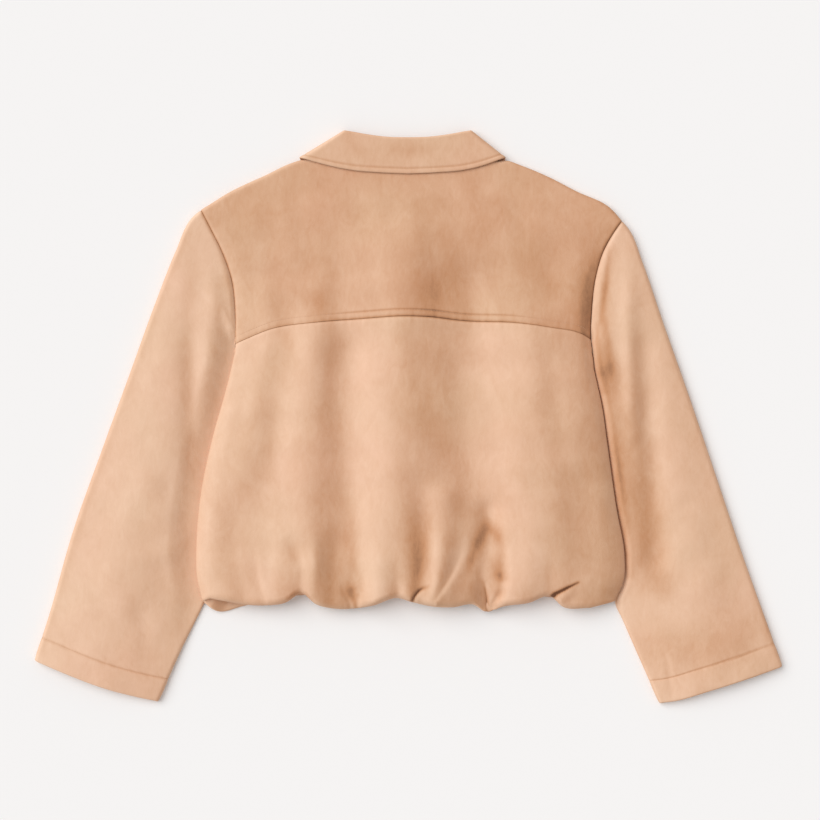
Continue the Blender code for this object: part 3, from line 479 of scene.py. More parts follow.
# The yoke's seam and stitches show most between these x, and least at the seam's ends
YOKE_SHOWS_FROM, YOKE_SHOWS_TO = (-120.0, -50.0), (165.0, 100.0)
YOKE_STITCH_LEAST = 0.15    # the part of their depth that its stitches have there
YOKE_SEAM_LEAST = 0.5       # and the part that its seam has
FADED = 2.5                 # what counts as this much further off, for the painted shade of the yoke's seam and stitches, where the stitches fade
FAR = 1000.0                # further than any seam's shade reaches

# Unevenness: its height, its seed and its shortest and longest waves
Ripples = namedtuple("Ripples", "height seed shortest longest")
BACK_RIPPLES = Ripples(0.35, 1, 34, 90)
SLEEVE_RIPPLES = Ripples(0.3, 2, 30, 80)
STEEP_EDGE_RIPPLES = Ripples(0.5, 5, 12, 40)
RIPPLE_WAVES = 14


# Curves and surfaces

def smoothstep(low, high, value):
    """0 below low, 1 above high and an even S between them; low may be the larger."""
    part = np.clip((np.asarray(value, float) - low) / (high - low), 0, 1)
    return part * part * (3 - 2 * part)


def bump(distance, reach):
    """1 at no distance, and falling to nothing a few reaches away."""
    return np.exp(-(distance / reach) ** 2)


def beside(distance, reach):
    """1 at an edge, falling evenly to nothing at a reach from it."""
    return np.clip(1 - distance / reach, 0, 1) ** 2


def hermite(at, knots, values):
    """A smooth curve through values at knots, read at the given places."""
    knots = np.asarray(knots, float)
    values = np.asarray(values, float)
    slopes = np.gradient(values, knots, axis=0)
    at = np.clip(at, knots[0], knots[-1])
    k = np.clip(np.searchsorted(knots, at, side="right") - 1, 0, len(knots) - 2)
    step = knots[k + 1] - knots[k]
    t = (at - knots[k]) / step
    if values.ndim > 1:
        t, step = t[..., None], step[..., None]
    start = (1 + 2 * t) * (1 - t) ** 2 * values[k] + t * (1 - t) ** 2 * step * slopes[k]
    end = t * t * (3 - 2 * t) * values[k + 1] + t * t * (t - 1) * step * slopes[k + 1]
    return start + end


def point_at(place, reach, points):
    """The point at a place along a row of points, whose own places are its reach."""
    return np.array([np.interp(place, reach, axis) for axis in points.T])


def lengths(points):
    """Distance along a row of points, from its first."""
    steps = np.linalg.norm(np.diff(np.asarray(points, float), axis=0), axis=1)
    return np.concatenate([[0], np.cumsum(steps)])


def along(points, fractions):
    """Points on the smooth curve through points, at fractions of its length."""
    reach = lengths(points)
    return hermite(np.asarray(fractions) * reach[-1], reach, points)


def outline_x(side, y):
    """The body's outline: shoulder, armhole and side fold, as x at a height y."""
    edges = (SHOULDER[side][::-1], ARMHOLE[side], SIDE_FOLD[side])
    dense = np.concatenate([along(edge, np.linspace(0, 1, EDGE_SAMPLES)) for edge in edges])
    return np.interp(y, dense[::-1, 1], dense[::-1, 0])


def inner_x(side, y):
    """The sleeve's inner fold, as x at a height y."""
    dense = along(SLEEVE_INNER[side], np.linspace(0, 1, 2 * EDGE_SAMPLES))
    return np.interp(y, dense[::-1, 1], dense[::-1, 0])


def share(points):
    """Each point's fraction of the way along a row of points."""
    reach = lengths(points)
    return reach / reach[-1]


def coons(left, right, bottom, top, columns=None):
    """A grid that fills four edges: rows run from bottom to top, columns left to right.

    columns, if given, holds each row's fractions across, and the ends' rows keep theirs.
    """
    v = ((share(left) + share(right)) / 2)[:, None, None]
    if columns is None:
        columns = np.broadcast_to((share(bottom) + share(top)) / 2, (len(v), len(bottom)))
    u = columns[..., None]
    across = (1 - u) * left[:, None] + u * right[:, None]
    first, last = columns[0][:, None], columns[-1][:, None]
    bottom_bow = bottom - (1 - first) * bottom[0] - first * bottom[-1]
    top_bow = top - (1 - last) * top[0] - last * top[-1]
    return across + (1 - v) * bottom_bow[None] + v * top_bow[None]


def relief(folds, x, y):
    """Height that a table of broad folds adds at x, y."""
    total = np.zeros(np.shape(x))
    for fold in folds:
        run_x, run_y = fold.x1 - fold.x0, fold.y1 - fold.y0
        length = math.hypot(run_x, run_y)
        down = ((x - fold.x0) * run_x + (y - fold.y0) * run_y) / length
        across = ((x - fold.x0) * run_y - (y - fold.y0) * run_x) / length
        past = np.maximum(np.maximum(-down, down - length), 0)
        total += fold.height * np.exp(-(across ** 2 + past ** 2) / fold.width ** 2)
    return total


def creased(creases, x, y):
    """Height that a table of creases adds at x, y."""
    total = np.zeros(np.shape(x))
    for crease in creases:
        line = along((crease.start, crease.middle, crease.end), np.linspace(0, 1, CREASE_SAMPLES))
        reach = CREASE_END * max(crease.widths)
        low, high = line.min(axis=0) - reach, line.max(axis=0) + reach
        near = (x > low[0]) & (x < high[0]) & (y > low[1]) & (y < high[1])
        px, py = x[near], y[near]
        best = np.full(px.shape, np.inf)
        place, side = np.zeros(px.shape), np.zeros(px.shape)
        for k, (a, run) in enumerate(zip(line, np.diff(line, axis=0))):
            t = np.clip(((px - a[0]) * run[0] + (py - a[1]) * run[1]) / (run @ run), 0, 1)
            off_x, off_y = px - a[0] - t * run[0], py - a[1] - t * run[1]
            off = np.hypot(off_x, off_y)
            nearer = off < best
            best = np.where(nearer, off, best)
            place = np.where(nearer, (k + t) / (len(line) - 1), place)
            side = np.where(nearer, np.sign(run[0] * off_y - run[1] * off_x), side)
        width = np.interp(place, (0, 1), crease.widths) * (1 - side * crease.lean)
        height = hermite(place, (0, 0.5, 1), crease.heights)
        total[near] += height * bump(best, width)
    return total


def rippled(ripples, x, y):
    """Gentle unevenness at x, y: waves of many headings."""
    rng = np.random.default_rng(ripples.seed)
    total = np.zeros(np.shape(x))
    for _ in range(RIPPLE_WAVES):
        wave = math.tau / rng.uniform(ripples.shortest, ripples.longest)
        heading, phase = rng.uniform(0, math.tau, 2)
        total += np.sin(wave * (x * math.cos(heading) + y * math.sin(heading)) + phase)
    return ripples.height * (total / math.sqrt(RIPPLE_WAVES))


def puckers(place):
    """Small uneven waves along a seam, from -1 to 1."""
    waves = [np.sin(math.tau * place / length + k) for k, length in enumerate(PUCKER_LENGTHS)]
    return sum(waves) / len(waves)


# Stations: places along an edge

def paces(length, count, marks=()):
    """Count steps along a length, shorter ones beside the marks."""
    places = np.linspace(0, length, PACE_SAMPLES)
    rate = 1 + CROWDING * sum((bump(places - mark, MARK_REACH) for mark in marks), 0 * places)
    steps = np.concatenate([[0], np.cumsum(rate[1:] + rate[:-1])])
    return np.interp(np.linspace(0, steps[-1], count + 1), steps, places)


def armhole_stations(side):
    """Fractions from the shoulder down to the yoke seam's end, and on to the underarm."""
    reach = lengths(ARMHOLE[side])
    turn = FOLD_REACH * TURN_REACH
    body = reach[-2] - turn[-1]
    upper = turn[-1] + paces(body, ARMHOLE_STEPS, (body, body - YOKE_STITCH))
    under = np.linspace(reach[-2], reach[-1] - turn[-1], UNDERARM_STEPS + 1)
    upper = np.concatenate([turn[:-1], upper])
    under = np.concatenate([under[1:], reach[-1] - turn[-2::-1]])
    return upper / reach[-1], under / reach[-1]


def shoulder_line(side, steps=SHOULDER_STEPS):
    """Points from the sleeve to the neck along a shoulder."""
    turn = FOLD_REACH * TURN_REACH / lengths(SHOULDER[side])[-1]
    rest = np.linspace(turn[-1], 1, steps + 1)[1:]
    return along(SHOULDER[side], np.concatenate([turn, rest]))


def armhole_line(side):
    """Points down an armhole, from the shoulder to the yoke seam's end."""
    return along(ARMHOLE[side], armhole_stations(side)[0])


def side_line(side):
    """Points down a side fold, from the underarm to the hem's corner."""
    length = lengths(SIDE_FOLD[side])[-1]
    body = np.linspace(0, length - HEM_ZONE, SIDE_STEPS + 1)
    hem = np.linspace(length - HEM_ZONE, length, HEM_ZONE_STEPS + 1)
    return along(SIDE_FOLD[side], np.concatenate([body[:-1], hem]) / length)


def back_hem_line():
    """Points along the back's hem: its rows, and the turns of the side folds at its ends."""
    rows = np.array([(row.x, row.y) for row in BACK_HEM], float)
    ends = [np.array(SIDE_FOLD[side][-1], float) for side in SIDES]
    turn = TURN_REACH[:-1, None]
    start = ends[0] + (rows[0] - ends[0]) * turn
    end = ends[1] + (rows[-1] - ends[1]) * turn
    return np.concatenate([start, along(rows, np.linspace(0, 1, BACK_STEPS + 1)), end[::-1]])


def neck_places():
    """Places along half of the back neck, from its centre to the shoulder."""
    turn = FOLD_REACH * TURN_REACH / (lengths(BACK_NECK)[-1] / 2)
    return np.concatenate([np.linspace(0, 1 - turn[-1], NECK_STEPS + 1), 1 - turn[-2::-1]])


def yoke_seam_line(count):
    """Count points along the yoke seam, with a fold's turn at both ends."""
    turn = FOLD_REACH * TURN_REACH / lengths(YOKE_SEAM)[-1]
    middle = np.linspace(turn[-1], 1 - turn[-1], count - 2 * len(TURN) + 2)
    return along(YOKE_SEAM, np.concatenate([turn[:-1], middle, 1 - turn[-2::-1]]))


def turn_across(count):
    """The turn at each column of a grid whose both sides are folds."""
    flat = np.full(count - 2 * len(TURN), math.pi / 2)
    return np.concatenate([TURN, flat, TURN[::-1]])


def risen(turn):
    """How far a fold has risen from its edge to its top."""
    return np.sin(turn) ** TURN_POWER


# Heights

def back_levels(y):
    """Height of the back's sides and of its centre line."""
    levels = np.array(BACK_LEVELS[::-1], float)
    return np.moveaxis(hermite(y, levels[:, 0], levels[:, 1:]), -1, 0)


def from_top(x, y):
    """How far y is below the shoulders and the back neck."""
    edges = (SHOULDER["left"], BACK_NECK, SHOULDER["right"][::-1])
    dense = np.concatenate([along(edge, np.linspace(0, 1, EDGE_SAMPLES)) for edge in edges])
    return np.interp(x, dense[:, 0], dense[:, 1]) - y


def edge_sink(side, y):
    """How far the back's edge sinks at its armhole and side fold."""
    places = np.array(EDGE_SINK[side], float)
    return hermite(y, places[:, 0], places[:, 1])


def back_top(x, y):
    """Middle of the back, above the turns at its folds."""
    rim, crown = back_levels(y)
    left, right = outline_x("left", y), outline_x("right", y)
    place = np.abs(2 * (x - left) / (right - left) - 1)
    dome = 1 - np.clip(place, 0, 1) ** DOME_POWER
    folds = relief(BACK_FOLDS, x, y) * smoothstep(1, FOLDS_FADE, place)
    clear = smoothstep(1, CREASES_FADE, place) * smoothstep(*CREASES_BELOW, from_top(x, y))
    fine = creased(BACK_CREASES, x, y) + rippled(BACK_RIPPLES, x, y)
    height = rim + (crown - rim) * dome + folds + fine * clear
    for side, inward in (("left", x - left), ("right", right - x)):
        height = height - edge_sink(side, y) * beside(inward, SINK_REACH[side])
    return height


def on_side(x, left, right):
    """The left side's value where x is on the wearer's left, or else the right side's."""
    return np.where(x < 0, left, right)


def side_middle(x, y):
    """Height of the side folds' edges."""
    sink = on_side(x, *(edge_sink(side, y) for side in SIDES))
    return (FRONT_OVER_SLEEVE + back_levels(y)[0] - sink) / 2


def above_underarm(x, y):
    """How far y is up from the underarm, as a fraction of the way to the yoke seam."""
    seam, under = (on_side(x, *(ARMHOLE[side][n][1] for side in SIDES)) for n in (-2, -1))
    return (y - under) / (seam - under)


def beside_fold(x, y):
    """1 beside the side folds, fading out up to the yoke seam above them."""
    return smoothstep(1, 0, above_underarm(x, y))


def fold_inset(x, y, ease=0.0):
    """How far the cloth's middle stands in from the outline beside the side folds.

    ease is what a front adds where it climbs past the sleeve's seam.
    """
    above = above_underarm(x, y)
    return CLOTH / 2 * smoothstep(INSET_END, 0, above) + ease * np.clip(1 - np.abs(above - 1), 0, 1)


def over_collar(x):
    """1 near the neck, where the shoulders lie on the collar, and 0 beyond it."""
    return smoothstep(*OVER_COLLAR, np.abs(x))


def shoulder_middle(x):
    """Height of the shoulder folds' edges."""
    return FOLD_MIDDLE + LAYER / 2 * over_collar(x)


def over_right_front(x):
    """1 where the left front lies on the right one."""
    return smoothstep(CENTRE_OVERLAP - OVERLAP_CLIMB[0], CENTRE_OVERLAP - OVERLAP_CLIMB[1], x)


def gather_sink(x, y):
    """How far the gathers pull the back down near its hem."""
    rows = np.array(BACK_HEM, float)
    hem_y = np.interp(x, rows[:, 0], rows[:, 1])
    return hermite(x, rows[:, 0], rows[:, 2]) * bump(y - hem_y, GATHER_REACH)


def lying(side, x, y):
    """How far the front has risen onto the sleeve: 0 on the surface, 1 on the sleeve."""
    beyond = OUTWARD[side] * (inner_x(side, y) - x)
    below = smoothstep(1, FRONT_LEAVES, above_underarm(x, y))
    return smoothstep(SURFACE_CLEAR, SLEEVE_EDGE_CLEAR, beyond) * below


def front_height(side, x, y):
    """Middle of a front: on the surface, on the sleeve, on the collar or on the other front."""
    rise = (FRONT_OVER_SLEEVE - FLOOR) * lying(side, x, y)
    rise = rise + LAYER * smoothstep(*COLLAR_CLIMB, y) * over_collar(x)
    if side == "left":
        rise = rise + OVERLAP_RISE * over_right_front(x) * (1 + smoothstep(*OVERLAP_HEM, y))
    return FLOOR + rise + creased(UNDER_CREASES["front_" + side], x, y)


def sleeve_top(side, x, y, across, down):
    """Middle of a sleeve's upper layer, at fractions across and down it."""
    inner_rim = SLEEVE_PRESSED + INNER_RISE * smoothstep(*INNER_RISES, down)
    rim = SHOULDER_TOP + (inner_rim - SHOULDER_TOP) * smoothstep(RIM_LEVEL, 1, across)
    dome = np.sin(np.pi * np.clip(across, 0, 1)) ** SLEEVE_DOME_POWER
    fade = dome * smoothstep(*SLEEVE_FOLDS_FADE, down)
    fine = creased(SLEEVE_CREASES[side], x, y) + rippled(SLEEVE_RIPPLES, x, y)
    height = rim + SLEEVE_CROWN * dome + relief(SLEEVE_FOLDS[side], x, y) * fade + fine * dome
    height = height + (back_levels(y)[0] - height) * smoothstep(ARMHOLE_BLEND, 0, down)
    outside = OUTWARD[side] * (x - outline_x(side, np.maximum(y, BODY_FOOT)))
    height = height - edge_sink(side, y) * beside(outside, ARMHOLE_GROOVE[side])
    above_seam = y - ARMHOLE[side][-2][1]
    free_above = FREE_ABOVE + FREE_FURTHER * smoothstep(0, FREE_OUT, outside)
    pressed = smoothstep(*PRESSED[side], outside) * smoothstep(free_above, 0, above_seam)
    pressed = pressed * smoothstep(*BODY_END, y)
    return height + (SLEEVE_PRESSED - height) * pressed


def crowded_at_body(side, x, y):
    """A sleeve's columns drawn towards the body's edge, as x, where they pass under it."""
    off = x - outline_x(side, np.maximum(y, BODY_FOOT))
    crowding = BODY_CROWDING[side] * bump(off, BODY_CROWDING_REACH)
    beside_body = smoothstep(CROWDING_END, 0, above_underarm(x, y))
    return x - off * crowding * beside_body * smoothstep(*CROWDING_FOOT, y)


def sleeve_bottom(side, x, y, room):
    """Middle of a sleeve's lower layer, with at most the room there is above it."""
    return FLOOR + np.minimum(creased(UNDER_CREASES["sleeve_" + side], x, y), room)


# Panels

def with_height(plan, height):
    """Points of a grid seen from above, with their heights."""
    return np.concatenate([plan, height[..., None]], axis=-1)


def turned_under(rows, inside, outward):
    """The rows of a grid, then its hem: a turn round the edge and the layer inside it.

    inside holds the turned-in layer's rows, from the edge inwards, and outward points
    off the edge, by as much as the turn stands off it. The turn starts at the rows' slope.
    """
    edge = rows[-1]
    step = rows[-1] - rows[-2]
    slope = np.clip(step[:, 2] / np.linalg.norm(step[:, :2], axis=1), -HEM_SLOPE, HEM_SLOPE)
    falling = np.zeros_like(edge)
    falling[:, 2] = slope * np.linalg.norm(outward, axis=1)
    turns = [edge + (inside[0] - edge) * (1 - math.cos(a)) / 2 + outward * math.sin(a)
             + falling * math.sin(a) * math.cos(a / 2) ** 2 for a in HEM_TURN]
    return np.concatenate([rows, np.array(turns), inside])


def inside_rows(rows, depth_steps):
    """A grid's last rows, from its edge inwards, at the turned-in layer's stride."""
    return rows[-1:-depth_steps - 2:-INSIDE_STRIDE].copy()


def hem_steps():
    """How many rows of the hem's zone are as deep as the hem."""
    return round(HEM_ZONE_STEPS * HEM_DEPTH / HEM_ZONE)


def side_drop(x, y, height, turn):
    """How far the back's edge turns down, at the side folds and just above them."""
    return beside_fold(x, y) * (height - side_middle(x, y)) * (1 - risen(turn))


def inward_at_sides(turn):
    """The way in along x at both of the back's sides, where they turn at a fold."""
    return np.cos(turn) * np.where(np.arange(len(turn)) < len(turn) / 2, 1, -1)


def shoulder_rise(count):
    """How far each row has risen, where the last of them turn over at a shoulder fold."""
    return np.concatenate([np.ones(count - len(TURN)), risen(TURN)[::-1]])


def body_with_hem(plan, height, layer, rounds, inward, reach):
    """A body panel's rows down to its hem, and the hem, turned in to the height of a layer.

    rounds and inward are how far its columns have risen from the side folds and their way
    in, and reach is how far the hem's turn stands off its edge.
    """
    middle = side_middle(plan[..., 0], plan[..., 1])
    inside, layer, middle = (inside_rows(grid, hem_steps()) for grid in (plan, layer, middle))
    inside[..., 0] += 2 * HEM_SIDE_TURN * inward
    inside = with_height(inside, middle + (layer - middle) * rounds)
    outward = np.stack([0 * reach, -reach, 0 * reach], axis=1)
    return turned_under(with_height(plan, height), inside, outward)


def yoke_surface():
    """Shoulder to shoulder, from the yoke seam up to the shoulder folds and the neck."""
    left = armhole_line("left")[::-1]
    right = armhole_line("right")[::-1]
    half = neck_places()
    neck = along(BACK_NECK, np.concatenate([1 - half[:0:-1], 1 + half]) / 2)
    right_shoulder = shoulder_line("right")[::-1]
    top = np.concatenate([shoulder_line("left")[:-1], neck, right_shoulder[1:]])
    plan = coons(left, right, yoke_seam_line(len(top)), top)
    corner = SHOULDER_STEPS + len(TURN) - 1
    turns = len(TURN)
    # the neck is no fold, so the rows close to it are evenly spaced
    for row in range(1 - turns, -1):
        part = (row + turns) / (turns - 1)
        neck_row = plan[-turns] + (plan[-1] - plan[-turns]) * part
        plan[row, corner + 1:-corner - 1] = neck_row[corner + 1:-corner - 1]
    x, y = plan[..., 0], plan[..., 1]
    height = back_top(x, y)
    shoulder = np.ones(len(top))
    shoulder[corner:-corner] = 1 - risen(turn_across(len(top) - 2 * corner))
    drop = (1 - shoulder_rise(len(left)))[:, None] * shoulder
    height = height + (shoulder_middle(x) - height) * drop
    turn = turn_across(len(top))
    height = height - side_drop(x, y, height, turn)
    plan[..., 0] += inward_at_sides(turn) * fold_inset(x, y)
    return with_height(plan, height)


def back_surface():
    """Yoke seam to hem, and the hem's turned-in layer."""
    edges = []
    for side in SIDES:
        seam, underarm = np.array(ARMHOLE[side][-2:], float)
        length = np.linalg.norm(underarm - seam)
        parts = paces(length, UNDERARM_STEPS, (0,))[:-1, None]
        edges.append(np.concatenate([seam + (underarm - seam) * parts / length, side_line(side)]))
    bottom = back_hem_line()
    plan = coons(*edges, yoke_seam_line(len(bottom)), bottom)
    x, y = plan[..., 0], plan[..., 1]
    turn = turn_across(len(bottom))
    rounds = risen(turn)
    reach = HEM_SIDE_TURN + HEM_FULLNESS * rounds
    plan[..., 1] += reach * smoothstep(HEM_EASE, 0, y - plan[-1, :, 1])
    height = back_top(x, y) - gather_sink(x, y)
    height = height - side_drop(x, y, height, turn)
    inward = inward_at_sides(turn)
    plan[..., 0] += inward * fold_inset(x, y)
    layer = HEM_INSIDE + HEM_INSIDE_RISE * on_side(x, *(lying(side, x, y) for side in SIDES))
    return body_with_hem(plan, height, layer, rounds, inward, reach)


def front_columns(side, fold, centre):
    """Each row's fractions across a front: its columns follow the sleeve's edge beneath."""
    width = np.abs(centre[:, 0] - fold[:, 0])
    past_sleeve = np.abs(inner_x(side, fold[:, 1]) - fold[:, 0])
    clear = np.maximum(past_sleeve + SLEEVE_EDGE_CLEAR, SIDE_CLEAR)
    down = clear + SURFACE_CLEAR - SLEEVE_EDGE_CLEAR
    turn = FOLD_REACH * TURN_REACH[:, None] / width
    climb = [1 - reach / width for reach in OVERLAP_CLIMB]
    stops = np.array([turn[-1], clear / width, down / width, *climb, np.ones(len(fold))])
    parts = [np.arange(steps) / steps + k for k, steps in enumerate(FRONT_PARTS)]
    parts = np.append(np.concatenate(parts), len(FRONT_PARTS))
    between = np.array([np.interp(parts, np.arange(len(stops)), row) for row in stops.T])
    rows = np.concatenate([turn[:-1].T, between], axis=1)
    top = share(shoulder_line(side, sum(FRONT_PARTS)))
    first = len(side_line(side)) - 1
    up = np.clip((np.arange(len(fold)) - first) / (len(fold) - 1 - first), 0, 1)[:, None]
    rows[first:] = rows[first]
    return rows + (top - rows) * up


def front_neck_line(side):
    """Points of the front neckline, from its centre to the shoulder."""
    neck = FRONT_NECK[side][::-1]
    turn = FOLD_REACH * TURN_REACH / lengths(neck)[-1]
    rest = np.linspace(0, 1 - turn[-1], FRONT_NECK_STEPS + 1)
    return along(neck, np.concatenate([rest[:-1], 1 - turn[::-1]]))


def front_surface(side):
    """Hem to shoulder and neck, one half of the front, and its turned-in hem."""
    fold = np.concatenate([side_line(side)[::-1], armhole_line(side)[::-1]])
    neck_line = front_neck_line(side)
    hem_y = FRONT_HEM[side][-1][1]
    hem = np.linspace(hem_y, hem_y + HEM_ZONE, HEM_ZONE_STEPS + 1)
    rest = np.linspace(hem[-1], neck_line[0, 1], len(fold) - len(neck_line) - len(hem) + 2)
    edge_y = np.concatenate([hem[:-1], rest[:-1]])
    edge_x = np.full(len(edge_y), -OUTWARD[side] * CENTRE_OVERLAP)
    centre = np.concatenate([np.stack([edge_x, edge_y], axis=1), neck_line])
    columns = front_columns(side, fold, centre)
    hem_line = along(FRONT_HEM[side], columns[0])
    top = shoulder_line(side, sum(FRONT_PARTS))
    plan = coons(fold, centre, hem_line, top, columns)
    x, y = plan[..., 0], plan[..., 1]
    rounds = np.concatenate([risen(TURN), np.ones(plan.shape[1] - len(TURN))])
    height = front_height(side, x, y)
    height = height + beside_fold(x, y) * (side_middle(x, y) - height) * (1 - rounds)
    height = height + (shoulder_middle(x) - height) * (1 - shoulder_rise(len(fold)))[:, None]
    inward = np.concatenate([np.cos(TURN), np.zeros(len(rounds) - len(TURN))]) * -OUTWARD[side]
    plan[..., 0] += inward * fold_inset(x, y, UNDERARM_EASE)
    plan[..., 1] += HEM_SIDE_TURN * smoothstep(FRONT_HEM_EASE, 0, y - plan[0, :, 1])
    layer = front_height(side, x, y) + LAYER
    reach = np.full(len(rounds), HEM_SIDE_TURN)
    return body_with_hem(plan[::-1], height[::-1], layer[::-1], rounds, inward, reach)


def sleeve_surface(side):
    """A flattened tube from the armhole to the cuff, and the cuff's turned-in hem."""
    inward_x = -OUTWARD[side]
    across = np.concatenate(armhole_stations(side))
    length = lengths(SLEEVE_INNER[side])[-1]
    down = paces(length, SLEEVE_STEPS, (0, length - CUFF_DEPTH, length)) / length
    outer = along(SLEEVE_OUTER[side], down)
    inner = along(SLEEVE_INNER[side], down)
    plan = coons(outer, inner, along(ARMHOLE[side], across), along(CUFF[side], across))
    plan[1:, :, 0] = crowded_at_body(side, plan[1:, :, 0], plan[1:, :, 1])
    turn = turn_across(len(across))
    inner_half = np.arange(len(across)) > len(across) / 2
    plan[..., 0] -= inward_x * CLOTH / 2 * np.cos(turn) * inner_half
    x, y = plan[..., 0], plan[..., 1]
    top = sleeve_top(side, x, y, np.broadcast_to(across, x.shape),
                     np.broadcast_to(down[:, None], x.shape))
    rounds = risen(turn)
    middle = (top + FLOOR) / 2
    bottom = sleeve_bottom(side, x, y, np.maximum(middle - LAYER, 0))
    upper_rows = with_height(plan, middle + (top - middle) * rounds)
    lower_rows = with_height(plan, middle - (middle - bottom) * rounds)
    count = len(across)
    turns = len(TURN)
    # the lower layer's columns, back from the inner fold, with all of them in the turns
    lower = np.concatenate([np.arange(count - 2, count - turns, -1),
                            np.arange(count - turns, turns - 1, -LOWER_STRIDE),
                            np.arange(turns - 1, 0, -1)])
    ring = np.concatenate([upper_rows, lower_rows[:, lower]], axis=1)
    order = np.concatenate([np.arange(count), lower])
    is_upper = np.arange(len(order)) < count
    sign = np.where(order < count / 2, inward_x, -inward_x)
    inward = np.stack([sign * np.cos(turn[order]), 0 * sign,
                       np.where(is_upper, -1, 1) * np.sin(turn[order])], axis=1)
    off = ring[-1] - ring[-2]
    off[:, 2] = 0
    off = off / np.linalg.norm(off, axis=1)[:, None] * CUFF_TURN
    from_edge = np.linalg.norm(ring - ring[-1], axis=2, keepdims=True)
    ring = ring - off * smoothstep(CUFF_EASE, 0, from_edge)
    depth_steps = int(np.sum(from_edge[:, 0, 0] < CUFF_DEPTH))
    inside = inside_rows(ring, depth_steps) + 2 * CUFF_TURN * inward
    return turned_under(ring, inside, off)


def collar_half(side):
    """Neck seam, roll line and outer edge of half the collar's sections, from centre back.

    The second array is each section's turn round the side of the neck, from a quarter
    turn up on the back to a quarter turn down on the front.
    """
    back_neck = BACK_NECK[::-1] if side == "left" else BACK_NECK
    back_places = neck_places()
    front_line = front_neck_line(side)[::-1]
    front_places = share(front_line)
    neck = np.concatenate([along(back_neck, 0.5 + back_places / 2), front_line[1:]])
    sections = (np.array(COLLAR_BACK), np.array(COLLAR_FRONT))
    rows = [hermite(places, part[:, 0], part[:, 1:])
            for places, part in zip((back_places, front_places), sections)]
    rows = np.concatenate([rows[0], rows[1][1:]])
    roll_x, roll_y, left_x, right_x, edge_y = rows.T
    roll = np.stack([COLLAR_CENTRE + OUTWARD[side] * roll_x, roll_y], axis=1)
    edge = np.stack([left_x if side == "left" else right_x, edge_y], axis=1)
    flat_back = np.full(NECK_STEPS, math.pi / 2)
    flat_front = np.full(FRONT_NECK_STEPS, -math.pi / 2)
    phase = np.concatenate([flat_back, TURN[:0:-1], -TURN, flat_front])
    return np.stack([neck, roll, edge], axis=1), phase


def collar_surface():
    """Stand, roll and fall, in sections from the left front end round to the right."""
    left, left_phase = collar_half("left")
    right, right_phase = collar_half("right")
    points = np.concatenate([left[:0:-1], right])
    phase = np.concatenate([left_phase[:0:-1], right_phase])
    is_left = np.arange(len(phase)) < len(left_phase) - 1
    lift = np.sign(phase) * risen(np.abs(phase))
    middle = FOLD_MIDDLE + LAYER / 2
    neck, roll, edge = points[:, 0], points[:, 1], points[:, 2]
    over = over_right_front(neck[:, 0]) * is_left * (lift < 0) * OVERLAP_RISE
    stand = middle + (SHOULDER_TOP - middle) * lift + over
    fall = middle + (SHOULDER_TOP - middle + LAYER) * lift
    spring = COLLAR_SPRING * np.clip(lift, 0, 1)
    rows = []
    for part in COLLAR_STAND:
        rows.append(with_height(neck + (roll - neck) * part, stand))
    top = fall + spring
    for angle in COLLAR_ROLL:
        side = neck if angle < math.pi / 2 else edge
        start = COLLAR_STAND[-1] if angle < math.pi / 2 else 1 - COLLAR_FALL[0]
        place = roll + (side - roll) * (1 - start) * (1 - math.sin(angle))
        rows.append(with_height(place, stand + (top - stand) * (1 - math.cos(angle)) / 2))
    for part in COLLAR_FALL:
        rows.append(with_height(roll + (edge - roll) * part, fall + spring * (1 - part / 2)))
    return np.array(rows)


# Seams and surface detail, along the cloth's own normals

def drawn_back(lines, level=False):
    """Rows of points that run inwards from a seam, with the seam's points drawn back.

    Each moves half the gap, away from the seam line, and those close behind it less.
    With level, none moves up or down.
    """
    step = lines[SEAM_ROWS] - lines[0]
    seam = np.gradient(lines[0], axis=0)
    seam /= np.linalg.norm(seam, axis=1, keepdims=True)
    step -= np.sum(step * seam, axis=1, keepdims=True) * seam
    step /= np.linalg.norm(step, axis=1, keepdims=True)
    if level:
        step[:, 2] = 0
    distance = np.linalg.norm(lines - lines[0], axis=2, keepdims=True)
    return lines + step * SEAM_GAP / 2 * np.clip(1 - distance / FOLD_REACH, 0, 1)


def seam_inset(points, closed):
    """The grid with each of its open edges drawn back from the seam line by half the gap."""
    points = drawn_back(points, level=closed)
    points = drawn_back(points[::-1], level=closed)[::-1]
    if not closed:
        across = points.transpose(1, 0, 2)
        across = drawn_back(across)
        points = drawn_back(across[::-1])[::-1].transpose(1, 0, 2)
    return points


def normals(points, closed=False):
    """The way each point of a grid faces: up, on the grid's upper layer."""
    down = np.gradient(points, axis=0)
    if closed:
        across = np.roll(points, -1, axis=1) - np.roll(points, 1, axis=1)
    else:
        across = np.gradient(points, axis=1)
    facing = np.cross(across, down)
    facing /= np.maximum(np.linalg.norm(facing, axis=2, keepdims=True), TINY)
    on_upper_layer = (len(points) // 3, points.shape[1] // 3)
    return facing * np.sign(facing[on_upper_layer][2])


def from_row(points, row):
    """Each point's distance from one row of its grid, along its column."""
    steps = np.linalg.norm(np.diff(points, axis=0), axis=2)
    reach = np.concatenate([0 * steps[:1], np.cumsum(steps, axis=0)])
    return np.abs(reach - reach[row])


def from_column(points, column):
    """Each point's distance from one column of its grid, along its row."""
    return from_row(points.transpose(1, 0, 2), column).T


def seam_detail(distance, place):
    """The dip of cloth into a seam, and the puckers beside it."""
    dip = -SEAM_DIP * bump(distance, DIP_REACH)
    return dip + PUCKER * puckers(place) * bump(distance, PUCKER_REACH)


def groove(distance):
    """The line that a row of stitches pulls down."""
    return -GROOVE * bump(distance, GROOVE_REACH)


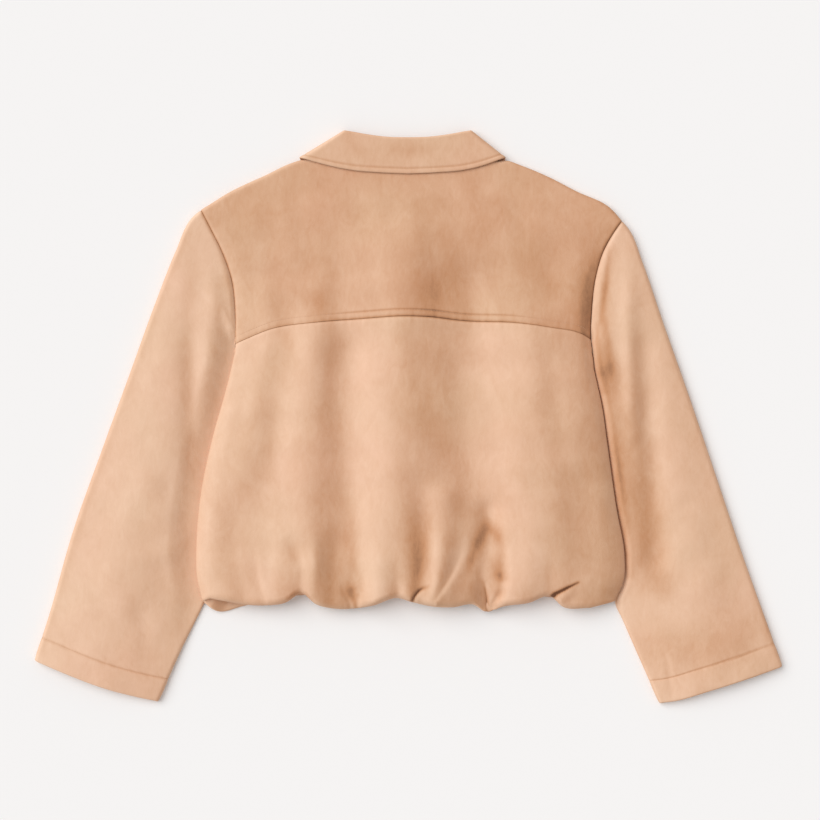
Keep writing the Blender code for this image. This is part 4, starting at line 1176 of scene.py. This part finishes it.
def yoke_seam_shows(x):
    """How clearly the yoke's edge and its stitches show: most in the middle."""
    shown = smoothstep(*YOKE_SHOWS_FROM, x) * smoothstep(*YOKE_SHOWS_TO, x)
    return YOKE_STITCH_LEAST + (1 - YOKE_STITCH_LEAST) * shown


def yoke_seam(points):
    """The dip and puckers of the seam between yoke and panel, shallower at its ends."""
    x = points[..., 0]
    strength = YOKE_SEAM_LEAST + (1 - YOKE_SEAM_LEAST) * yoke_seam_shows(x)
    return seam_detail(from_row(points, 0), x) * strength


def from_sides(points):
    """Each point's distance from the first or the last column of its grid."""
    return np.minimum(from_column(points, 0), from_column(points, -1))


def sides_detail(points):
    """The seams down both sides of the yoke or the panel, above the side folds."""
    x, y = points[..., 0], points[..., 1]
    seams = (seam_detail(from_column(points, column), y) for column in (0, -1))
    return sum(seams) * (1 - beside_fold(x, y))


def yoke_detail(points):
    """The yoke's seams, its lower edge's ledge and the stitched line above that."""
    from_seam = from_row(points, 0)
    ledge = LEDGE * bump(from_seam, LEDGE_REACH) + groove(from_seam - YOKE_STITCH)
    x = points[..., 0]
    return ledge * yoke_seam_shows(x) + yoke_seam(points) + sides_detail(points)


def panel_detail(points):
    """The panel's seam with the yoke, and with the sleeves above the underarms."""
    return yoke_seam(points) + sides_detail(points)


def sleeve_detail(points):
    """The armhole seam, and the stitches and swelling of the cuff's hem."""
    from_armhole = from_row(points, 0)
    from_edge = from_row(points, SLEEVE_STEPS)
    band = np.clip(from_edge / CUFF_DEPTH, 0, 1)
    puff = CUFF_PUFF * np.sin(np.pi * band) ** PUFF_POWER
    place = points[..., 0] + points[..., 1]
    outer = np.arange(len(points))[:, None] <= SLEEVE_STEPS
    detail = seam_detail(from_armhole, points[..., 1])
    detail = detail + puff + groove(from_edge - CUFF_DEPTH)
    detail = detail + PUCKER * puckers(place) * bump(from_edge - CUFF_DEPTH, PUCKER_REACH)
    return detail * outer


def from_collar_edge(points):
    """Each point's distance from the fall's edge or from the collar's ends."""
    nearest = from_row(points, -1)
    for column in (0, -1):
        nearest = np.minimum(nearest, from_column(points, column))
    return nearest


def collar_detail(points):
    """The stitched line round the fall, and the swelling outside it."""
    fall = np.arange(len(points))[:, None] > len(COLLAR_STAND) + len(COLLAR_ROLL)
    from_edge = from_collar_edge(points)
    swell = COLLAR_SWELL * np.sin(np.pi * np.clip(from_edge / COLLAR_STITCH, 0, 1))
    return (groove(from_edge - COLLAR_STITCH) + swell) * fall


def line_at(points, distances, target):
    """The line across a grid's columns at a distance that only rises or falls along them."""
    line = []
    for column, reach in zip(points.transpose(1, 0, 2), distances.T):
        if reach[0] > reach[-1]:
            column, reach = column[::-1], reach[::-1]
        line.append(point_at(target, reach, column))
    return np.array(line)


def tone_with_painted_light(node, points, tone, seams, stitches, closed):
    """The tone at each point: the piece's own, painted light and shade from marks, seams and
    stitches, and steep edges lighter.

    seams and stitches are the distances from its seams and from its stitched lines.
    """
    x, y = points[..., 0], points[..., 1]
    # painted light and shade from the marks
    marks = creased(PAINTED_LIGHT_AND_SHADE_MARKS.get(node, ()), x, y)
    level = normals(points, closed)[..., 2]
    # painted shade in the seams and along the stitched lines
    shade = PAINTED_SEAM_SHADE * bump(seams, SHADE_REACH) + PAINTED_STITCH_SHADE * bump(stitches, SHADE_REACH)
    # lighter where the cloth stands steep, at a fold's edge
    steep_lighter = STEEP_EDGE_LIGHTER * smoothstep(*STEEP_LEVEL, np.abs(level))
    steep_lighter = steep_lighter * (1 + rippled(STEEP_EDGE_RIPPLES, x, y))
    return tone + (marks - shade) * (level > 0) + steep_lighter


# Materials

NAP_AND_SHADE_COLOURS = (             # tone and colour, from the darkest to the lightest; the darkest end is the painted shade of gathers, slits and seams
    (0.0, (0.17, 0.070, 0.035, 1)),
    (0.35, (0.60, 0.302, 0.163, 1)),
    (0.65, (0.76, 0.475, 0.320, 1)),
    (1.0, (0.92, 0.640, 0.480, 1)),
)
ROSE = (1.0, 0.93, 0.91, 1)     # tints that the suede's colour drifts between
SAND = (0.96, 1.0, 0.95, 1)
# Noises of so many cells a metre, or fewer along y. The weight is how much a noise counts in
# the nap's tone.
Noise = namedtuple("Noise", "cells detail roughness along_y distortion weight",
                   defaults=(0.5, 1, 0, 0))
DRIFT = Noise(9, 2.0)
CLOUDS = Noise(26, 4.0, 0.62, 0.6, 0.9, 0.25)
BLOTCHES = Noise(80, 5.0, 0.66, 0.55, 1.4, 0.20)
STROKES = Noise(210, 3.0, 0.6, 0.35, 0.8, 0.14)
GRAIN = Noise(1100, 2.0, 0.65, weight=0.11)
TWIST = Noise(2600, 1.0)
NOISE_MIDDLE = 0.5
# Painted light and shade by the way the cloth faces: how much each way counts in the tone, lighter
# facing the wearer's left and the collar, where the key light comes from
PAINTED_LIGHT_BY_FACING = {"X": -0.65, "Y": 0.2}
PAINTED_LIGHT_MOST_SLOPE = 0.30          # beyond this slope the painted light and shade grow no further
PATTERN_SHIFT = (0.9, 0.63, 0)      # metres from one piece's pattern to the next one's
SUEDE_SURFACE = {"Roughness": 0.92, "Specular IOR Level": 0.18, "Sheen Weight": 0.15,
                 "Sheen Roughness": 0.45, "Sheen Tint": (1.0, 0.80, 0.66, 1)}
SUEDE_RELIEF = {"Strength": 0.35, "Distance": 0.0006}
STROKE_RELIEF = 0.8         # how high the strokes stand beside the grain
THREAD_COLOURS = ((0.55, 0.32, 0.19, 1), (0.72, 0.46, 0.31, 1))
THREAD_ROUGHNESS = 0.6
THREAD_RELIEF = {"Distance": 0.0001}


def feed(tree, node, inputs):
    """Each named or numbered input of a node, linked to a socket or set to a value."""
    for name, value in inputs.items():
        if isinstance(value, bpy.types.NodeSocket):
            tree.links.new(value, node.inputs[name])
        else:
            node.inputs[name].default_value = value


def add_node(tree, kind, inputs, **settings):
    """The outputs of a new node with these inputs and settings."""
    node = tree.nodes.new(kind)
    for name, value in settings.items():
        setattr(node, name, value)
    feed(tree, node, inputs)
    return node.outputs


def combined(tree, operation, *values):
    """A math node on sockets and numbers."""
    return add_node(tree, "ShaderNodeMath", dict(enumerate(values)), operation=operation)[0]


def mixed(tree, factor, first, second, **settings):
    """A mix of two colours, which are inputs 6 and 7 of its node, and output 2."""
    inputs = {0: factor, 6: first, 7: second}
    return add_node(tree, "ShaderNodeMix", inputs, data_type="RGBA", **settings)[2]


def noise(tree, place, kind):
    """A noise about its middle, at a place."""
    moved = add_node(tree, "ShaderNodeMapping", {"Vector": place, "Scale": (1, kind.along_y, 1)})
    inputs = {"Vector": moved["Vector"], "Scale": kind.cells, "Detail": kind.detail,
              "Roughness": kind.roughness, "Distortion": kind.distortion}
    return add_node(tree, "ShaderNodeTexNoise", inputs)["Fac"]


def bumps(tree, height, relief_size):
    """The normal, bent by fine relief."""
    return add_node(tree, "ShaderNodeBump", {"Height": height, **relief_size})["Normal"]


def object_place(tree):
    """The place on the piece itself."""
    return add_node(tree, "ShaderNodeTexCoord", {})["Object"]


def new_material(name):
    """A material, its node tree and its shader."""
    material = bpy.data.materials.new(name)
    material.use_nodes = True
    tree = material.node_tree
    return material, tree, tree.nodes["Principled BSDF"]


def textured_tone(tree, noises):
    """The tone at each point, with its painted light and shade, mottled by the noises and with
    painted light and shade by the way it faces.
    """
    tone = add_node(tree, "ShaderNodeAttribute", {}, attribute_name="tone_and_painted_light")["Fac"]
    for kind, texture in noises.items():
        centred = combined(tree, "SUBTRACT", texture, NOISE_MIDDLE)
        tone = combined(tree, "MULTIPLY_ADD", centred, kind.weight, tone)
    normal = add_node(tree, "ShaderNodeNewGeometry", {})["Normal"]
    facing = add_node(tree, "ShaderNodeSeparateXYZ", {"Vector": normal})
    # painted light and shade by the way the cloth faces
    for axis, weight in PAINTED_LIGHT_BY_FACING.items():
        slope = combined(tree, "MINIMUM", facing[axis], PAINTED_LIGHT_MOST_SLOPE)
        slope = combined(tree, "MAXIMUM", slope, -PAINTED_LIGHT_MOST_SLOPE)
        slope = combined(tree, "MULTIPLY", slope, facing["Z"])
        tone = combined(tree, "MULTIPLY_ADD", slope, weight, tone)
    return tone


def colour_at_tone(tree, tone):
    """The colour at a tone, painted light and shade included."""
    ramp = tree.nodes.new("ShaderNodeValToRGB")
    stops = ramp.color_ramp.elements
    while len(stops) < len(NAP_AND_SHADE_COLOURS):
        stops.new(0.5)
    for stop, (tone_at, colour) in zip(stops, NAP_AND_SHADE_COLOURS):
        stop.position = tone_at
        stop.color = colour
    feed(tree, ramp, {"Fac": tone})
    return ramp.outputs["Color"]


def suede(name, number):
    """Napped suede: mottled where the nap lies this way or that, with a short fibrous grain, and
    with painted light and shade, from its tone attribute and lighter where it faces the light from
    the wearer's left. The number moves its pattern."""
    material, tree, shader = new_material(name)
    shift = [number * step for step in PATTERN_SHIFT]
    inputs = {"Vector": object_place(tree), "Location": shift}
    place = add_node(tree, "ShaderNodeMapping", inputs)["Vector"]
    noises = {kind: noise(tree, place, kind) for kind in (CLOUDS, BLOTCHES, STROKES, GRAIN)}
    colour = colour_at_tone(tree, textured_tone(tree, noises))
    tint = mixed(tree, noise(tree, place, DRIFT), ROSE, SAND)
    fibres = combined(tree, "MULTIPLY_ADD", noises[STROKES], STROKE_RELIEF, noises[GRAIN])
    feed(tree, shader, {"Base Color": mixed(tree, 1.0, colour, tint, blend_type="MULTIPLY"),
                        "Normal": bumps(tree, fibres, SUEDE_RELIEF), **SUEDE_SURFACE})
    return material


def thread_material():
    """Matt polyester thread, in the suede's colour, with its twist as fine bumps."""
    material, tree, shader = new_material("thread")
    twist = noise(tree, object_place(tree), TWIST)
    feed(tree, shader, {"Base Color": mixed(tree, twist, *THREAD_COLOURS),
                        "Normal": bumps(tree, twist, THREAD_RELIEF),
                        "Roughness": THREAD_ROUGHNESS})
    return material


# Pieces

def grid_faces(rows, columns, closed):
    """Four-sided faces of a grid; closed joins its last column to its first."""
    index = np.arange(rows * columns).reshape(rows, columns)
    if closed:
        index = np.concatenate([index, index[:, :1]], axis=1)
    corners = (index[:-1, :-1], index[:-1, 1:], index[1:, 1:], index[1:, :-1])
    return np.stack(corners, axis=-1).reshape(-1, 4)


def placed(name, data):
    """A new object in the scene."""
    item = bpy.data.objects.new(name, data)
    bpy.context.scene.collection.objects.link(item)
    return item


def jacket_piece(name, mesh, material):
    """A mesh of a material, as a piece of the jacket."""
    mesh.shade_smooth()
    mesh.materials.append(material)
    piece = placed(name, mesh)
    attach(piece, "root")
    return piece


def cloth_piece(node, points, tone, seams=FAR, stitches=FAR, closed=False):
    """A shell on a grid of points, with its tones and painted light and shade, which stands for the
    CAD node.
    """
    name = node + "_suede"
    mesh = bpy.data.meshes.new(name)
    faces = grid_faces(*points.shape[:2], closed)
    mesh.from_pydata((points * MM).reshape(-1, 3).tolist(), [], faces.tolist())
    # the attribute holds the tone with its painted light and shade
    tone_and_painted_light = mesh.attributes.new("tone_and_painted_light", "FLOAT", "POINT")
    tone_and_painted_light.data.foreach_set("value", tone_with_painted_light(node, points, tone, seams, stitches, closed).ravel())
    piece = jacket_piece(name, mesh, suede(name, len(bpy.data.materials)))
    solid = piece.modifiers.new("cloth", "SOLIDIFY")
    solid.thickness = CLOTH * MM
    solid.offset = 0
    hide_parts(node)


def stitch_line(name, points, distances, target, material, closed=False):
    """A row of stitches across a grid, at a distance along its columns."""
    line = line_at(points, distances, target)
    up = line_at(normals(points, closed), distances, target)
    if closed:
        line = np.concatenate([line, line[:1]])
        up = np.concatenate([up, up[:1]])
    reach = lengths(line)
    count = int(reach[-1] / STITCH_PITCH)
    size = Matrix.Diagonal((STITCH / 2, THREAD / 2, THREAD / 2, 1))
    shape = bmesh.new()
    for middle in (np.arange(count) + 0.5) * reach[-1] / count:
        start, end = (point_at(place, reach, line)
                      for place in (middle - STITCH / 2, middle + STITCH / 2))
        normal = Vector(point_at(middle, reach, up)).normalized()
        run = Vector(end - start).normalized()
        side = normal.cross(run).normalized()
        turn = Matrix((run, side, run.cross(side))).transposed().to_4x4()
        centre = Vector((start + end) / 2) + normal * (CLOTH / 2)
        place = Matrix.Translation(centre * MM) @ Matrix.Scale(MM, 4) @ turn @ size
        bmesh.ops.create_uvsphere(shape, u_segments=STITCH_SIDES, v_segments=STITCH_RINGS,
                                  radius=1, matrix=place)
    mesh = bpy.data.meshes.new(name)
    shape.to_mesh(mesh)
    shape.free()
    jacket_piece(name, mesh, material)


def with_detail(points, detail=None, closed=False):
    """The grid drawn back at its seams, and moved along its normals by a detail's heights.

    Where it faces the surface that it lies on, the detail only draws it inwards.
    """
    points = seam_inset(points, closed)
    if detail:
        facing = normals(points, closed)
        amount = detail(points)
        pressed_flat = np.clip(1 + facing[..., 2], 0, 1)
        amount = np.where(amount > 0, amount * pressed_flat, amount)
        points = points + facing * amount[..., None]
    points[..., 2] = np.maximum(points[..., 2], FLOOR)
    return points


def build_yoke(thread):
    yoke = with_detail(yoke_surface(), yoke_detail)
    from_seam = from_row(yoke, 0)
    # distances for the painted shade of the seams and stitches, fading towards the seam's ends
    fading = FADED * (1 - yoke_seam_shows(yoke[..., 0]))
    seams = np.minimum(from_seam + fading / 2, from_sides(yoke))
    cloth_piece("back_yoke", yoke, YOKE_TONE, seams, np.abs(from_seam - YOKE_STITCH) + fading)
    stitched = yoke[:YOKE_ROWS, BETWEEN_TURNS]
    stitch_line("yoke_stitches", stitched, from_row(stitched, 0), YOKE_STITCH, thread)


def build_panel():
    panel = with_detail(back_surface(), panel_detail)
    # distance for the painted shade of the yoke seam
    seams = from_row(panel, 0) + FADED / 2 * (1 - yoke_seam_shows(panel[..., 0]))
    cloth_piece("back_panel", panel, PANEL_TONE, seams)


def build_front(side):
    """A front lies plain: its seams are at the folds."""
    cloth_piece("front_" + side, with_detail(front_surface(side)), FRONT_TONE_AND_LIGHT)


def build_sleeve(side, thread):
    sleeve = with_detail(sleeve_surface(side), sleeve_detail, closed=True)
    turned_in = np.arange(len(sleeve))[:, None] > SLEEVE_STEPS
    # distance for the painted shade along the cuff's stitches
    stitches = from_row(sleeve, SLEEVE_STEPS) - CUFF_DEPTH + FAR * turned_in
    cloth_piece("sleeve_" + side, sleeve, SLEEVE_TONE_AND_LIGHT[side], from_row(sleeve, 0), stitches,
                closed=True)
    stitched = sleeve[SLEEVE_STEPS - CUFF_ROWS:SLEEVE_STEPS + 1]
    stitch_line(f"cuff_{side}_stitches", stitched, from_row(stitched, -1), CUFF_DEPTH,
                thread, closed=True)


def build_collar(thread):
    collar = with_detail(collar_surface(), collar_detail)
    # distance for the painted shade along the fall's stitches
    stitches = from_collar_edge(collar) - COLLAR_STITCH
    cloth_piece("collar", collar, COLLAR_TONE, stitches=stitches)
    fall = collar[-len(COLLAR_FALL):, BETWEEN_TURNS]
    stitch_line("collar_stitches", fall, from_row(fall, -1), COLLAR_STITCH, thread)


def build_jacket():
    """The seven pieces and the lines of stitches that show on them."""
    thread = thread_material()
    build_yoke(thread)
    build_panel()
    for side in SIDES:
        build_front(side)
        build_sleeve(side, thread)
    build_collar(thread)


# Stage: metres and degrees

FLOOR_HALF = 40
FLOOR_BELOW = 0.0001        # how far it is below the surface, so that the two don't meet
FLOOR_SURFACE = {"Base Color": (0.93, 0.913, 0.905, 1), "Roughness": 1.0,
                 "Specular IOR Level": 0.0}
SKY_STRENGTH = 0.50
KEY_STRENGTH = 2.1
KEY_WIDTH = 55
KEY_ELEVATION, KEY_AZIMUTH = 47, 150
CAMERA_PLACE = (0.0018, 0.0082, 2.5)
CAMERA_SENSOR = 36          # millimetres
FOCUS_HEIGHT = 0.009        # the level at which the picture is so wide:
PICTURE_WIDTH = 0.9635


def build_floor():
    mesh = bpy.data.meshes.new("floor")
    shape = bmesh.new()
    bmesh.ops.create_grid(shape, x_segments=1, y_segments=1, size=FLOOR_HALF)
    shape.to_mesh(mesh)
    shape.free()
    material, tree, shader = new_material("floor")
    feed(tree, shader, FLOOR_SURFACE)
    mesh.materials.append(material)
    floor = placed("floor", mesh)
    floor.location.z = -FLOOR_BELOW


def build_light():
    """A white sky, and a broad key light from the wearer's upper left."""
    world = bpy.data.worlds.new("studio")
    world.use_nodes = True
    background = world.node_tree.nodes["Background"]
    feed(world.node_tree, background, {"Color": (1, 1, 1, 1), "Strength": SKY_STRENGTH})
    bpy.context.scene.world = world
    key = bpy.data.lights.new("key", "SUN")
    key.energy = KEY_STRENGTH
    key.angle = math.radians(KEY_WIDTH)
    elevation, azimuth = math.radians(KEY_ELEVATION), math.radians(KEY_AZIMUTH)
    ray = Vector((math.cos(azimuth) * math.cos(elevation),
                  math.sin(azimuth) * math.cos(elevation), math.sin(elevation)))
    placed("key", key).rotation_euler = ray.to_track_quat("Z", "Y").to_euler()


def build_camera():
    """Straight above, looking down."""
    data = bpy.data.cameras.new("camera")
    data.sensor_width = CAMERA_SENSOR
    data.lens = CAMERA_SENSOR * (CAMERA_PLACE[2] - FOCUS_HEIGHT) / PICTURE_WIDTH
    camera = placed("camera", data)
    camera.location = CAMERA_PLACE
    bpy.context.scene.camera = camera
    bpy.context.scene.view_settings.view_transform = "Standard"


build_jacket()
build_floor()
build_light()
build_camera()
